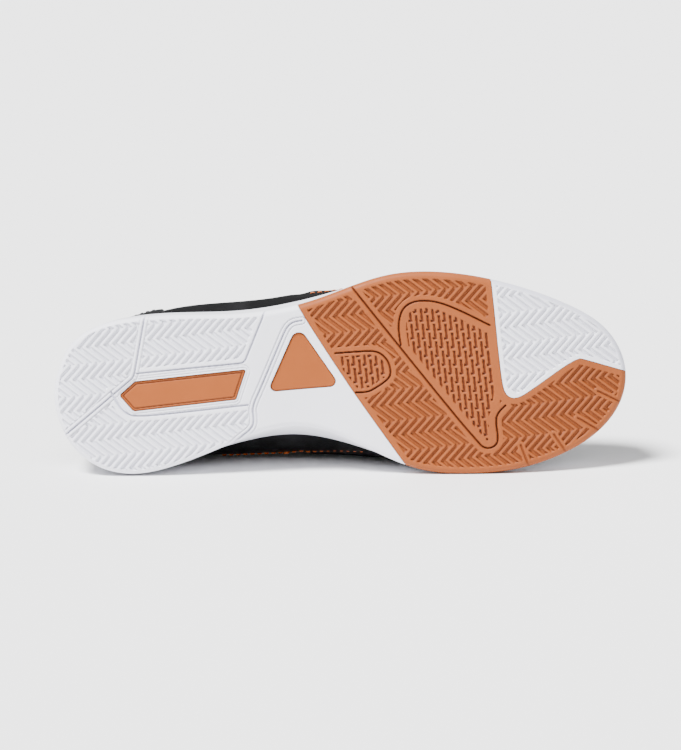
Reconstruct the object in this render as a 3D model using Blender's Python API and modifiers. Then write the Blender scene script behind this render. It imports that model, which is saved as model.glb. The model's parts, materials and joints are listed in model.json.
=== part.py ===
"""Indoor soccer shoe for the right foot, built upright and then laid on its inner side.

Upright, X runs from the back of the heel to the toe, Y towards the inner side of the foot
and Z up from the ground under the sole. The finished pieces are turned and set down together,
so that the sole's inner edge and the upper's inner side rest on the plane Z = 0.
"""

import math
from collections import namedtuple

import bmesh
import bpy
import numpy as np
from mathutils import Vector

# Driving sizes in metres

LENGTH = 0.300
BALL_WIDTH = 0.107
HEEL_HEIGHT = 0.080
INSTEP_HEIGHT = 0.100
INSTEP_RADIUS = 0.042
TOE_SPRING = 0.011
HEEL_BEVEL = 0.003
SHANK_LIFT = 0.0015

OUTSOLE = 0.0045
TREAD_ROUND = 0.0030
GROOVE_DEPTH = 0.0012
GROOVE_WIDTH = 0.0014
INSERT_RECESS = 0.0006
SIDE_HEIGHT = 0.025
RIM_WALL = 0.0022
RIM_BEVEL = 0.0009
INSOLE = 0.004
INSOLE_ROUND = 0.0012

WALL = 0.0022
COLLAR_WALL = 0.0065
OVERLAY = 0.0012
TONGUE = 0.0045
TONGUE_DROP = 0.0042
EYESTAY_WIDTH = 0.017
EYELET_HOLE = 0.0044
EYELET_MARGIN = 0.0085
EYELET_PAIRS = 6
LACE_WIDTH = 0.0060
LACE_THICKNESS = 0.0016
LACE_LIFT = 0.0017
LACE_INSET_SHARE = 0.55
GAP = 0.0003
SKIRT_GAP = 0.0007

# Steps of the curved faces: round one side, up a rib, round the tread's edge in degrees, round
# a window's corner and an eyelet, along the tongue, across it and along a lace

SIDE_STEPS = 32
RIB_STEPS = 11
END_CLUSTER = 0.055
TREAD_TURNS = (0.0, 32.0, 62.0, 90.0)
CORNER_STEPS = 3
EYELET_SIDES = 8
TONGUE_STEPS = 16
TONGUE_COLUMNS = 8
LACE_STEPS = 10
SLOPE_STEP = 0.001

# The overlays: how far round the shoe each reaches from heel or toe, how much of the ribs it
# covers at its ends and how much more in its middle, in the ribs' own shares

Panel = namedtuple("Panel", "middle reach ends more columns")

TOE_CAP = Panel(1.0, 0.21, 0.03, 0.46, 8)
COUNTER = Panel(0.0, 0.23, 0.16, 0.46, 4)
EYESTAY = Panel(1.0, 0.545, 0.0, 0.0, 3)
OVERLAY_LIFT = 0.0012

# The collar's padding: the ring's place where it ends and how it fades, and the ribs' share
# where it starts and how it grows

COLLAR_END_SHARE = 0.42
COLLAR_FADE_SHARE = 0.10
COLLAR_FROM_SHARE = 0.55
COLLAR_GROWTH_SHARE = 0.30

# The sole seen from above, as shares of LENGTH and BALL_WIDTH, from the back of the heel
# along the outer side to the toe and back along the inner side

Point = namedtuple("Point", "along across")

OUTLINE_OUTER = (
    Point(0.000, 0.035), Point(0.010, -0.115), Point(0.033, -0.229), Point(0.074, -0.306),
    Point(0.140, -0.350), Point(0.227, -0.365), Point(0.310, -0.371), Point(0.380, -0.393),
    Point(0.450, -0.440), Point(0.520, -0.510), Point(0.586, -0.563), Point(0.656, -0.578),
    Point(0.736, -0.556), Point(0.820, -0.497), Point(0.900, -0.409), Point(0.958, -0.306),
    Point(0.990, -0.180),
)
OUTLINE_INNER = (
    Point(1.000, -0.045), Point(0.988, 0.090), Point(0.950, 0.222), Point(0.885, 0.331),
    Point(0.805, 0.400), Point(0.720, 0.421), Point(0.640, 0.399), Point(0.568, 0.328),
    Point(0.500, 0.256), Point(0.425, 0.221), Point(0.350, 0.253), Point(0.280, 0.320),
    Point(0.210, 0.384), Point(0.140, 0.419), Point(0.080, 0.386), Point(0.035, 0.294),
    Point(0.010, 0.175),
)

# The sole's side at stations along LENGTH, as shares of SIDE_HEIGHT: the footbed and the rim
# above the tread, the lean of the outer and inner side up to the rim, outwards where it is
# negative, and the tuck of the tread's edge under it

Side = namedtuple("Side", "along footbed rim lean_outer lean_inner tuck_outer tuck_inner")

SIDES = (
    Side(0.00, 0.64, 1.06, 0.11, 0.11, 0.00, 0.00),
    Side(0.15, 0.64, 1.03, 0.05, 0.08, 0.00, 0.00),
    Side(0.32, 0.58, 0.97, 0.03, -0.04, 0.02, 0.12),
    Side(0.43, 0.52, 0.92, 0.03, -0.12, 0.04, 0.20),
    Side(0.55, 0.46, 0.84, 0.11, -0.06, 0.00, 0.06),
    Side(0.70, 0.42, 0.77, 0.15, 0.12, 0.00, 0.00),
    Side(0.88, 0.42, 0.76, 0.16, 0.14, 0.00, 0.00),
    Side(1.00, 0.42, 0.82, 0.17, 0.17, 0.00, 0.00),
)

HEEL_FLAT_SHARE = 0.085
SHANK_START_SHARE = 0.33
SHANK_END_SHARE = 0.55
TOE_BREAK_SHARE = 0.72

# The middle line of collar and throat, and the top of the instep above it, as shares of
# LENGTH, BALL_WIDTH and INSTEP_HEIGHT

Crest = namedtuple("Crest", "along across height")

CRESTS = (
    Crest(0.00, 0.035, 1.90), Crest(0.22, 0.030, 1.52), Crest(0.34, 0.022, 1.13),
    Crest(0.40, 0.018, 0.98), Crest(0.50, 0.005, 0.825), Crest(0.60, -0.010, 0.715),
    Crest(0.69, -0.022, 0.635), Crest(0.80, -0.038, 0.56), Crest(1.00, -0.045, 0.40),
)

# Ribs of the upper, from the sole's rim to the top edge. along is the share of the way from
# heel to toe round one side. top and aim are shares of LENGTH, half is the top edge's distance
# from the middle line as a share of BALL_WIDTH, and height is a share of HEEL_HEIGHT, or 0 on
# the instep. flare and lean are the rib's angles from upright in degrees, outwards at the rim
# and inwards at the top, and rise and reach are how far each angle holds, as shares of the rib.
# On the instep the top edge follows the instep's own slope in place of lean.

Rib = namedtuple("Rib", "along top half height aim flare rise lean reach")

HEEL_RIB = Rib(0.00, 0.040, 0.000, 1.000, 0.11, 13, 0.38, 4, 0.30)
TOE_RIB = Rib(1.00, 0.688, 0.000, 0.0, 0.69, 10, 0.17, 0, 0.46)
RIBS_OUTER = (
    Rib(0.08, 0.058, 0.150, 0.970, 0.11, 12, 0.38, 4, 0.30),
    Rib(0.16, 0.120, 0.268, 0.855, 0.13, 16, 0.43, 6, 0.30),
    Rib(0.25, 0.200, 0.325, 0.765, 0.21, 34, 0.50, 8, 0.30),
    Rib(0.33, 0.270, 0.330, 0.785, 0.28, 43, 0.54, 10, 0.30),
    Rib(0.41, 0.335, 0.290, 0.950, 0.35, 33, 0.50, 18, 0.32),
    Rib(0.47, 0.378, 0.222, 0.0, 0.40, 15, 0.42, 0, 0.32),
    Rib(0.51, 0.405, 0.196, 0.0, 0.43, 6, 0.40, 0, 0.33),
    Rib(0.57, 0.447, 0.183, 0.0, 0.47, 5, 0.38, 0, 0.34),
    Rib(0.64, 0.505, 0.175, 0.0, 0.52, 4, 0.33, 0, 0.34),
    Rib(0.72, 0.570, 0.162, 0.0, 0.57, 4, 0.29, 0, 0.35),
    Rib(0.80, 0.627, 0.140, 0.0, 0.63, 5, 0.25, 0, 0.37),
    Rib(0.88, 0.667, 0.092, 0.0, 0.66, 7, 0.20, 0, 0.41),
    Rib(0.94, 0.682, 0.046, 0.0, 0.68, 9, 0.18, 0, 0.44),
)
RIBS_INNER = (
    Rib(0.08, 0.058, 0.150, 0.970, 0.11, 12, 0.38, 4, 0.30),
    Rib(0.16, 0.120, 0.262, 0.870, 0.13, 9, 0.38, 6, 0.30),
    Rib(0.25, 0.200, 0.312, 0.790, 0.21, 20, 0.40, 8, 0.30),
    Rib(0.33, 0.270, 0.315, 0.810, 0.28, 50, 0.50, 10, 0.22),
    Rib(0.41, 0.335, 0.280, 0.960, 0.35, 74, 0.54, 18, 0.16),
    Rib(0.47, 0.378, 0.222, 0.0, 0.40, 78, 0.46, 0, 0.22),
    Rib(0.51, 0.405, 0.196, 0.0, 0.43, 76, 0.42, 0, 0.25),
    Rib(0.57, 0.447, 0.183, 0.0, 0.47, 52, 0.36, 0, 0.30),
    Rib(0.64, 0.505, 0.175, 0.0, 0.52, 9, 0.32, 0, 0.34),
    Rib(0.72, 0.570, 0.162, 0.0, 0.57, 6, 0.28, 0, 0.35),
    Rib(0.80, 0.627, 0.140, 0.0, 0.63, 6, 0.24, 0, 0.37),
    Rib(0.88, 0.667, 0.092, 0.0, 0.66, 7, 0.20, 0, 0.41),
    Rib(0.94, 0.682, 0.046, 0.0, 0.68, 9, 0.18, 0, 0.44),
)

# Lines on the tread, as shares of LENGTH and BALL_WIDTH: the two partings between the
# colours, and the grooves between the tread blocks

FOREFOOT_PARTING = (
    Point(0.414, -0.459), Point(0.427, -0.399), Point(0.446, -0.309), Point(0.498, -0.085),
    Point(0.533, 0.060), Point(0.612, 0.369), Point(0.634, 0.455),
)
TOE_PARTING = (
    Point(0.756, -0.620), Point(0.762, -0.489), Point(0.773, -0.190), Point(0.781, -0.010),
    Point(0.788, 0.030), Point(0.798, 0.045), Point(0.810, 0.040), Point(0.826, 0.015),
    Point(0.909, -0.150), Point(0.927, -0.140), Point(1.030, -0.050),
)
FLEX_GROOVE = (
    Point(0.505, -0.548), Point(0.519, -0.499), Point(0.603, -0.204), Point(0.696, 0.120),
    Point(0.740, 0.264), Point(0.748, 0.286), Point(0.760, 0.290), Point(0.771, 0.272),
    Point(0.774, 0.239), Point(0.769, 0.150), Point(0.774, 0.112), Point(0.786, 0.080),
)
OVAL_GROOVE = (
    Point(0.758, -0.314), Point(0.708, -0.384), Point(0.673, -0.424), Point(0.647, -0.436),
    Point(0.624, -0.429), Point(0.608, -0.399), Point(0.601, -0.349), Point(0.600, -0.289),
    Point(0.604, -0.215),
)
DEE_GROOVE = (
    Point(0.490, -0.176), Point(0.551, -0.190), Point(0.568, -0.180), Point(0.582, -0.140),
    Point(0.587, -0.090), Point(0.584, -0.052), Point(0.554, 0.005), Point(0.542, 0.014),
    Point(0.526, 0.015),
)
HEEL_GROOVE = (
    Point(0.168, -0.440), Point(0.159, -0.349), Point(0.140, -0.060), Point(0.019, 0.229),
    Point(-0.010, 0.300),
)
PAD_GROOVE = (
    Point(0.373, -0.440), Point(0.365, -0.359), Point(0.332, -0.130), Point(0.145, -0.078),
)
SHANK_GROOVE = (
    Point(0.432, -0.336), Point(0.416, -0.329), Point(0.406, -0.304), Point(0.397, -0.250),
    Point(0.362, -0.015), Point(0.345, 0.090), Point(0.349, 0.140), Point(0.346, 0.190),
    Point(0.320, 0.244), Point(0.299, 0.300), Point(0.292, 0.360),
)
BAR_GROOVE = (
    Point(0.100, 0.010), Point(0.107, 0.052), Point(0.122, 0.112), Point(0.143, 0.137),
    Point(0.253, 0.104), Point(0.338, 0.076),
)

# Windows in the heel piece: corners, and the radius of each corner in shares of BALL_WIDTH

Corner = namedtuple("Corner", "along across radius")

BAR_WINDOW = (
    Corner(0.142, -0.040, 0.006), Corner(0.336, -0.100, 0.010), Corner(0.318, 0.052, 0.010),
    Corner(0.139, 0.110, 0.022), Corner(0.114, 0.030, 0.014),
)
ARCH_WINDOW = (
    Corner(0.424, -0.320, 0.040), Corner(0.371, 0.016, 0.028), Corner(0.500, -0.014, 0.030),
)

# The tongue from under the vamp to its top: place along the shoe and half width, as shares of
# LENGTH and BALL_WIDTH

Tongue = namedtuple("Tongue", "along half")

TONGUE_WIDTHS = (
    Tongue(0.715, 0.150), Tongue(0.690, 0.185), Tongue(0.640, 0.225), Tongue(0.560, 0.255),
    Tongue(0.480, 0.260), Tongue(0.430, 0.238), Tongue(0.390, 0.196), Tongue(0.350, 0.182),
    Tongue(0.325, 0.165), Tongue(0.312, 0.115),
)

# Ribs of the throat's ends, counted along the rib tables

THROAT_TOP = 5
THROAT_FOOT = 10

# Places along the middle of the tread, where heel and forefoot stand flat

HEEL_REST = Point(0.200, -0.190)
FOREFOOT_REST = Point(0.655, -0.190)

# Densities in kilograms per cubic metre

RUBBER_DENSITY = 1050.0
FOAM_DENSITY = 190.0
LINER_DENSITY = 130.0
SHELL_DENSITY = 620.0
PADDING_DENSITY = 260.0
LACE_DENSITY = 700.0


def spline(knots, values, at):
    """Natural cubic curve through the values at the knots, read at many places."""
    knots = np.asarray(knots, float)
    values = np.asarray(values, float).reshape(len(knots), -1)
    at = np.asarray(at, float)
    step = np.diff(knots)
    slope = np.diff(values, axis=0) / step[:, None]
    count = len(knots)
    system = np.eye(count)
    right = np.zeros_like(values)
    for row in range(1, count - 1):
        system[row, row - 1] = step[row - 1]
        system[row, row] = 2.0 * (step[row - 1] + step[row])
        system[row, row + 1] = step[row]
        right[row] = 6.0 * (slope[row] - slope[row - 1])
    bend = np.linalg.solve(system, right)
    left = np.clip(np.searchsorted(knots, at, side="right") - 1, 0, count - 2)
    width = step[left][:, None]
    after = (at - knots[left])[:, None]
    before = width - after
    return (
        (bend[left] * before**3 + bend[left + 1] * after**3) / (6.0 * width)
        + (values[left] / width - bend[left] * width / 6.0) * before
        + (values[left + 1] / width - bend[left + 1] * width / 6.0) * after
    )


def closed_spline(knots, values, period, at):
    """Cubic curve that closes on itself after one period."""
    knots = np.asarray(knots, float)
    around = np.concatenate((knots - period, knots, knots + period))
    return spline(around, np.vstack((values, values, values)), np.mod(at, period))


def place(points):
    """Positions of table points on the ground plane, in metres."""
    return np.array([(point.along * LENGTH, point.across * BALL_WIDTH) for point in points])


def outline(ring):
    """The sole's outline. ring runs from 0 at the heel to 1 at the toe and on to 2."""
    points = place(OUTLINE_OUTER + OUTLINE_INNER)
    chords = np.linalg.norm(np.roll(points, -1, axis=0) - points, axis=1)
    knots = np.concatenate(((0.0,), np.cumsum(chords)[:-1]))
    total = chords.sum()
    toe = knots[len(OUTLINE_OUTER)]
    ring = np.mod(np.asarray(ring, float), 2.0)
    at = np.where(ring < 1.0, ring * toe, toe + (ring - 1.0) * (total - toe))
    return closed_spline(knots, points, total, at)


def outward(ring):
    """Level unit vectors that point out of the sole's outline."""
    small = 0.002
    along = outline(np.asarray(ring) + small) - outline(np.asarray(ring) - small)
    along /= np.linalg.norm(along, axis=1)[:, None]
    return np.column_stack((along[:, 1], -along[:, 0]))


def ring_steps():
    """Places round the shoe, closer together at heel and toe."""
    step = np.arange(2 * SIDE_STEPS) / SIDE_STEPS
    share = step - np.floor(step)
    return np.floor(step) + share - END_CLUSTER * np.sin(2.0 * math.pi * share)


def stations(middle, reach):
    """The ring's own places within a reach of a middle place, in order."""
    offset = np.mod(ring_steps() - middle + 1.0, 2.0) - 1.0
    return middle + np.sort(offset[np.abs(offset) <= reach])


def side_column(name, ring):
    """A column of SIDES round the shoe, from the outer or the inner side's own column."""
    along = [side.along for side in SIDES]
    at = np.clip(outline(ring)[:, 0] / LENGTH, 0.0, 1.0)
    if name in Side._fields:
        return spline(along, [getattr(side, name) for side in SIDES], at)[:, 0]
    outer = spline(along, [getattr(side, name + "_outer") for side in SIDES], at)[:, 0]
    inner = spline(along, [getattr(side, name + "_inner") for side in SIDES], at)[:, 0]
    return np.where(np.mod(ring, 2.0) < 1.0, outer, inner)


def ground(x):
    """Height of the tread over the ground: heel bevel, raised shank and toe spring."""
    along = np.asarray(x, float) / LENGTH
    heel = np.clip(1.0 - along / HEEL_FLAT_SHARE, 0.0, 1.3)
    shank = np.clip((along - SHANK_START_SHARE) / (SHANK_END_SHARE - SHANK_START_SHARE), 0.0, 1.0)
    toe = np.clip((along - TOE_BREAK_SHARE) / (1.0 - TOE_BREAK_SHARE), 0.0, 1.2)
    return HEEL_BEVEL * heel**2 + SHANK_LIFT * np.sin(math.pi * shank) ** 2 + TOE_SPRING * toe**2


def rim_height(ring):
    """Height of the sole's rim over the tread."""
    return side_column("rim", ring) * SIDE_HEIGHT


def footbed_height(ring):
    """Height of the footbed over the tread."""
    return side_column("footbed", ring) * SIDE_HEIGHT


def side_inset(ring, height):
    """How far the sole's side lies inside its outline at a height over the tread."""
    share = height / rim_height(ring)
    tuck = side_column("tuck", ring) * SIDE_HEIGHT
    lean = side_column("lean", ring) * SIDE_HEIGHT
    return tuck * (1.0 - share) + lean * share


def cup_inset(ring):
    """How far the rim's inner face lies inside the outline at the footbed.

    It drops plumb from the rim, or runs along with a side that flares outwards.
    """
    at_rim = side_inset(ring, rim_height(ring))
    return np.maximum(at_rim, side_inset(ring, footbed_height(ring))) + RIM_WALL


def sole_ring(ring, height, inset):
    """Points round the sole at a height over the tread, an inset inside the sole's side."""
    level = np.broadcast_to(height, ring.shape)
    depth = side_inset(ring, level) + inset
    flat = outline(ring) - outward(ring) * depth[:, None]
    return np.column_stack((flat, level))


def on_ground(points):
    """Points over the tread, raised by the tread's own height over the ground."""
    points = np.array(points, float)
    points[:, 2] += ground(points[:, 0])
    return points


def feather(ring):
    """The upper's outer face where it passes the sole's rim."""
    rim = rim_height(ring)
    return on_ground(sole_ring(ring, rim, RIM_WALL + GAP))


def crest(x):
    """Across and height of the instep's top at x."""
    along = [row.along for row in CRESTS]
    across = spline(along, [row.across for row in CRESTS], x / LENGTH)[:, 0]
    height = spline(along, [row.height for row in CRESTS], x / LENGTH)[:, 0]
    return across * BALL_WIDTH, height * INSTEP_HEIGHT


def instep(x, y):
    """Height of the last's arched instep, which throat edges, tongue and lace follow."""
    across, height = crest(x)
    return height - (y - across) ** 2 / (2.0 * INSTEP_RADIUS)


def rib_columns(ring):
    """The rib table read round the shoe: top edge, aim point, angles and holds."""
    rows = [HEEL_RIB, *RIBS_OUTER, TOE_RIB, *reversed(RIBS_INNER)]
    inner = len(RIBS_OUTER) + 2
    knots = [row.along if index < inner else 2.0 - row.along for index, row in enumerate(rows)]
    side = [-1.0 if index < inner else 1.0 for index in range(len(rows))]
    top_x = np.array([row.top for row in rows]) * LENGTH
    middle = crest(top_x)[0]
    top_y = middle + np.array(side) * np.array([row.half for row in rows]) * BALL_WIDTH
    collar = np.array([row.height for row in rows]) * HEEL_HEIGHT
    top_z = np.where(collar > 0.0, collar, instep(top_x, top_y))
    aim = np.array([row.aim for row in rows]) * LENGTH
    aim = np.column_stack((aim, crest(aim)[0]))
    towards = aim - feather(np.array(knots))[:, 0:2]
    towards /= np.linalg.norm(towards, axis=1)[:, None]
    beyond = towards * SLOPE_STEP
    climb = instep(top_x + beyond[:, 0], top_y + beyond[:, 1]) - instep(top_x, top_y)
    along_instep = 90.0 - np.degrees(np.arctan2(climb, SLOPE_STEP))
    lean = np.where(collar > 0.0, [row.lean for row in rows], along_instep)
    holds = [(row.flare, row.rise, row.reach) for row in rows]
    table = np.column_stack((top_x, top_y, top_z, aim, lean, holds))
    return closed_spline(knots, table, 2.0, ring)


def upper_surface(ring, share):
    """The upper's outer face. share is 0 at the sole's rim and 1 at the top edge."""
    ring = np.asarray(ring, float)
    share = np.broadcast_to(share, ring.shape)[:, None]
    table = rib_columns(ring)
    base = feather(ring)
    top = table[:, 0:3]
    inwards = table[:, 3:5] - base[:, 0:2]
    inwards /= np.linalg.norm(inwards, axis=1)[:, None]
    span = np.linalg.norm(top - base, axis=1)
    lean = np.radians(table[:, 5])
    flare = np.radians(table[:, 6])
    out = np.column_stack((-inwards * np.sin(flare)[:, None], np.cos(flare)))
    home = np.column_stack((inwards * np.sin(lean)[:, None], np.cos(lean)))
    low = base + out * (span * table[:, 7])[:, None]
    high = top - home * (span * table[:, 8])[:, None]
    rest = 1.0 - share
    return rest**3 * base + 3 * rest**2 * share * low + 3 * rest * share**2 * high + share**3 * top


def upper_normal(ring, share):
    """Unit vectors that point out of the upper's outer face."""
    small = 0.004
    ring = np.asarray(ring, float)
    share = np.broadcast_to(share, ring.shape)
    around = upper_surface(ring + small, share) - upper_surface(ring - small, share)
    up = upper_surface(ring, np.minimum(share + small, 1.0)) - upper_surface(ring, share - small)
    normal = np.cross(around, up)
    return normal / np.linalg.norm(normal, axis=1)[:, None]


def material(name, colour, roughness):
    """A Principled material with one colour."""
    made = bpy.data.materials.new(name)
    made.use_nodes = True
    shader = made.node_tree.nodes["Principled BSDF"]
    shader.inputs["Base Color"].default_value = (*colour, 1.0)
    shader.inputs["Roughness"].default_value = roughness
    made.diffuse_color = (*colour, 1.0)
    return made


def make_object(name, vertices, faces, collection, finish=None):
    """A mesh object with its faces turned outwards."""
    mesh = bpy.data.meshes.new(name)
    mesh.from_pydata([tuple(vertex) for vertex in vertices], [], faces)
    form = bmesh.new()
    form.from_mesh(mesh)
    bmesh.ops.recalc_face_normals(form, faces=form.faces)
    form.to_mesh(mesh)
    form.free()
    made = bpy.data.objects.new(name, mesh)
    if finish:
        mesh.materials.append(finish)
    collection.objects.link(made)
    return made


def ladder(start, count):
    """Faces that close a ring of points, from side to side like the rungs of a ladder."""
    half = count // 2
    faces = [(start, start + 1, start + count - 1)]
    for step in range(1, half - 1):
        far = start + count - step
        faces.append((start + step, start + step + 1, far - 1, far))
    faces.append((start + half - 1, start + half, start + half + 1))
    return faces


def band_faces(rows, count, closed=True):
    """Quads between neighbouring rows of points."""
    last = count if closed else count - 1
    faces = []
    for row in range(rows - 1):
        for step in range(last):
            here = row * count + step
            beside = row * count + (step + 1) % count
            faces.append((here, beside, beside + count, here + count))
    return faces


def loft(name, rings, collection, finish):
    """A closed body through rings of points, with a ladder of faces at each end."""
    count = len(rings[0])
    faces = band_faces(len(rings), count)
    faces += ladder(0, count)
    faces += ladder((len(rings) - 1) * count, count)
    return make_object(name, np.vstack(rings), faces, collection, finish)


def evaluated_mesh(item):
    """The object's mesh with its modifiers applied."""
    bpy.context.view_layer.update()
    graph = bpy.context.evaluated_depsgraph_get()
    return bpy.data.meshes.new_from_object(item.evaluated_get(graph))


def apply_modifiers(item):
    """Puts the evaluated mesh in place of the object's own."""
    mesh = evaluated_mesh(item)
    item.modifiers.clear()
    item.data = mesh


def wall_cutter(name, points, width, low, high, cutters):
    """A thin upright wall on a line of points, which cuts a groove or a parting."""
    form = bmesh.new()
    line = [form.verts.new((x, y, low)) for x, y in place(points)]
    edges = [form.edges.new(pair) for pair in zip(line, line[1:])]
    raised = bmesh.ops.extrude_edge_only(form, edges=edges)["geom"]
    corners = [part for part in raised if isinstance(part, bmesh.types.BMVert)]
    bmesh.ops.translate(form, verts=corners, vec=(0.0, 0.0, high - low))
    mesh = bpy.data.meshes.new(name)
    form.to_mesh(mesh)
    form.free()
    cutter = bpy.data.objects.new(name, mesh)
    solidify = cutter.modifiers.new("Width", "SOLIDIFY")
    solidify.thickness = width
    solidify.offset = 0.0
    solidify.use_even_offset = True
    hide_cutter(cutter, cutters)
    return cutter


def hide_cutter(cutter, cutters):
    """Keeps a cutter out of the model."""
    cutters.objects.link(cutter)
    cutter.hide_render = True
    cutter.display_type = "WIRE"


def rounded(corners, inset=0.0):
    """An outline with arcs at its corners, moved inwards by an inset."""
    points = place(corners)
    turn = np.roll(points, -1, axis=0) - points
    turn /= np.linalg.norm(turn, axis=1)[:, None]
    after = np.roll(points, -1, axis=0)
    area = np.sum(points[:, 0] * after[:, 1] - points[:, 1] * after[:, 0])
    inside = np.column_stack((-turn[:, 1], turn[:, 0])) * math.copysign(1.0, area)
    line = []
    for index, corner in enumerate(corners):
        one = inside[index - 1]
        other = inside[index]
        radius = corner.radius * BALL_WIDTH
        centre = points[index] + (one + other) / (1.0 + one @ other) * radius
        start = math.atan2(-one[1], -one[0])
        sweep = math.atan2(one[0] * other[1] - one[1] * other[0], one @ other)
        for step in range(CORNER_STEPS + 1):
            angle = start + sweep * step / CORNER_STEPS
            line.append(centre + (radius - inset) * np.array((math.cos(angle), math.sin(angle))))
    return np.array(line)


def prism(name, line, low, high, collection, finish=None):
    """An upright body on a closed outline."""
    count = len(line)
    rings = [np.column_stack((line, np.full(count, level))) for level in (low, high)]
    faces = band_faces(2, count)
    faces += [tuple(range(count)), tuple(range(count, 2 * count))]
    return make_object(name, np.vstack(rings), faces, collection, finish)


def cut(item, cutters, operation="DIFFERENCE"):
    """Cuts each of the cutters out of an object in turn."""
    for cutter in cutters:
        modifier = item.modifiers.new(cutter.name, "BOOLEAN")
        modifier.operation = operation
        modifier.solver = "EXACT"
        modifier.object = cutter
    apply_modifiers(item)


def bend_to_ground(item):
    """Bends a flat sole piece to the heel bevel, shank and toe spring."""
    mesh = item.data
    flat = np.empty(len(mesh.vertices) * 3)
    mesh.vertices.foreach_get("co", flat)
    bent = on_ground(flat.reshape(-1, 3))
    mesh.vertices.foreach_set("co", bent.ravel())
    mesh.update()


def loose_bodies(item):
    """Splits an object into its separate bodies, sorted from heel to toe."""
    bpy.ops.object.select_all(action="DESELECT")
    item.select_set(True)
    bpy.context.view_layer.objects.active = item
    bpy.ops.mesh.separate(type="LOOSE")
    bodies = list(bpy.context.selected_objects)
    return sorted(bodies, key=lambda body: np.mean([corner[0] for corner in body.bound_box]))


def outsole(parts, cutters, finishes):
    """The three outsole panels and the two inserts that show in the heel's windows."""
    ring = ring_steps()
    rings = []
    for turn in np.radians(TREAD_TURNS):
        height = TREAD_ROUND * (1.0 - math.cos(turn))
        rings.append(sole_ring(ring, height, TREAD_ROUND * (1.0 - math.sin(turn))))
    rings.append(sole_ring(ring, OUTSOLE, 0.0))
    slab = loft("outsole", rings, parts, finishes["white_rubber"])
    through = (-OUTSOLE, 2.0 * OUTSOLE)
    groove_lines = {
        "flex_groove": FLEX_GROOVE, "oval_groove": OVAL_GROOVE, "dee_groove": DEE_GROOVE,
        "heel_groove": HEEL_GROOVE, "pad_groove": PAD_GROOVE, "shank_groove": SHANK_GROOVE,
        "bar_groove": BAR_GROOVE,
    }
    grooves = []
    for name, line in groove_lines.items():
        grooves.append(wall_cutter(name, line, GROOVE_WIDTH, -OUTSOLE, GROOVE_DEPTH, cutters))
    windows = []
    for name, corners in (("bar_window", BAR_WINDOW), ("arch_window", ARCH_WINDOW)):
        window = prism(name, rounded(corners), *through, bpy.context.scene.collection)
        bpy.context.scene.collection.objects.unlink(window)
        hide_cutter(window, cutters)
        windows.append(window)
    partings = [
        wall_cutter("forefoot_parting", FOREFOOT_PARTING, GAP, *through, cutters),
        wall_cutter("toe_parting", TOE_PARTING, GAP, *through, cutters),
    ]
    cut(slab, grooves + windows + partings)
    heel, forefoot, toe = loose_bodies(slab)
    names = ("outsole_heel", "outsole_forefoot", "outsole_toe")
    looks = ("white_rubber", "gum_rubber", "white_rubber")
    for body, name, look in zip((heel, forefoot, toe), names, looks):
        body.name = name
        body.data.materials.clear()
        body.data.materials.append(finishes[look])
        bend_to_ground(body)
    for name, corners in (("heel_insert", BAR_WINDOW), ("arch_insert", ARCH_WINDOW)):
        line = rounded(corners, GAP)
        insert = prism(name, line, INSERT_RECESS, OUTSOLE, parts, finishes["orange_rubber"])
        bend_to_ground(insert)


def midsole(parts, finishes):
    """Foam midsole: flat under the foot, with a rim that cups the upper."""
    ring = ring_steps()
    rim = rim_height(ring)
    bed = footbed_height(ring)
    rings = [
        sole_ring(ring, OUTSOLE + GAP, 0.0),
        sole_ring(ring, rim / 2.0, 0.0),
        sole_ring(ring, rim - RIM_BEVEL, 0.0),
        sole_ring(ring, rim, RIM_BEVEL),
        sole_ring(ring, rim, RIM_WALL),
        sole_ring(ring, bed, cup_inset(ring) - side_inset(ring, bed)),
    ]
    loft("midsole", [on_ground(points) for points in rings], parts, finishes["white_foam"])


def insole(parts, finishes):
    """Sock liner inside the upper."""
    ring = ring_steps()
    low = footbed_height(ring) + GAP
    inset = cup_inset(ring) + SKIRT_GAP + WALL + GAP
    rings = []
    for rise, rounding in ((0.0, 0.0), (INSOLE - INSOLE_ROUND, 0.0), (INSOLE, INSOLE_ROUND)):
        level = low + rise
        rings.append(sole_ring(ring, level, inset + rounding - side_inset(ring, level)))
    loft("insole", [on_ground(points) for points in rings], parts, finishes["liner"])


def skirt(ring):
    """The upper's lower edge, which stands on the footbed inside the rim."""
    level = footbed_height(ring) + GAP
    inset = cup_inset(ring) + SKIRT_GAP - side_inset(ring, level)
    return on_ground(sole_ring(ring, level, inset))


def upper(parts, cutters, finishes):
    """The hollow upper with its padded collar and eyelet holes."""
    ring = ring_steps()
    count = len(ring)
    shares = np.arange(RIB_STEPS + 1) / RIB_STEPS
    rows = [skirt(ring)] + [upper_surface(ring, share) for share in shares]
    rows[1][:, 2] += GAP
    faces = band_faces(len(rows), count)
    shell = make_object("upper", np.vstack(rows), faces, parts, finishes["black_upper"])
    padding = shell.vertex_groups.new(name="padding")
    for index, share in enumerate([0.0, *shares]):
        for step, place_round in enumerate(ring):
            weight = wall_thickness(place_round, share) / COLLAR_WALL
            padding.add([index * count + step], weight, "REPLACE")
    solidify = shell.modifiers.new("Wall", "SOLIDIFY")
    solidify.thickness = COLLAR_WALL
    solidify.vertex_group = padding.name
    solidify.offset = -1.0
    solidify.use_even_offset = True
    solidify.use_quality_normals = True
    turn_outwards(shell)
    cut(shell, eyelet_cutters(cutters))


def wall_thickness(place_round, share):
    """The upper's wall: padded at the collar, and thin below it and along the throat."""
    from_heel = min(place_round % 2.0, 2.0 - place_round % 2.0)
    along = np.clip((COLLAR_END_SHARE - from_heel) / COLLAR_FADE_SHARE, 0.0, 1.0)
    up = np.clip((share - COLLAR_FROM_SHARE) / COLLAR_GROWTH_SHARE, 0.0, 1.0)
    return WALL + (COLLAR_WALL - WALL) * float(along * up)


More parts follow.
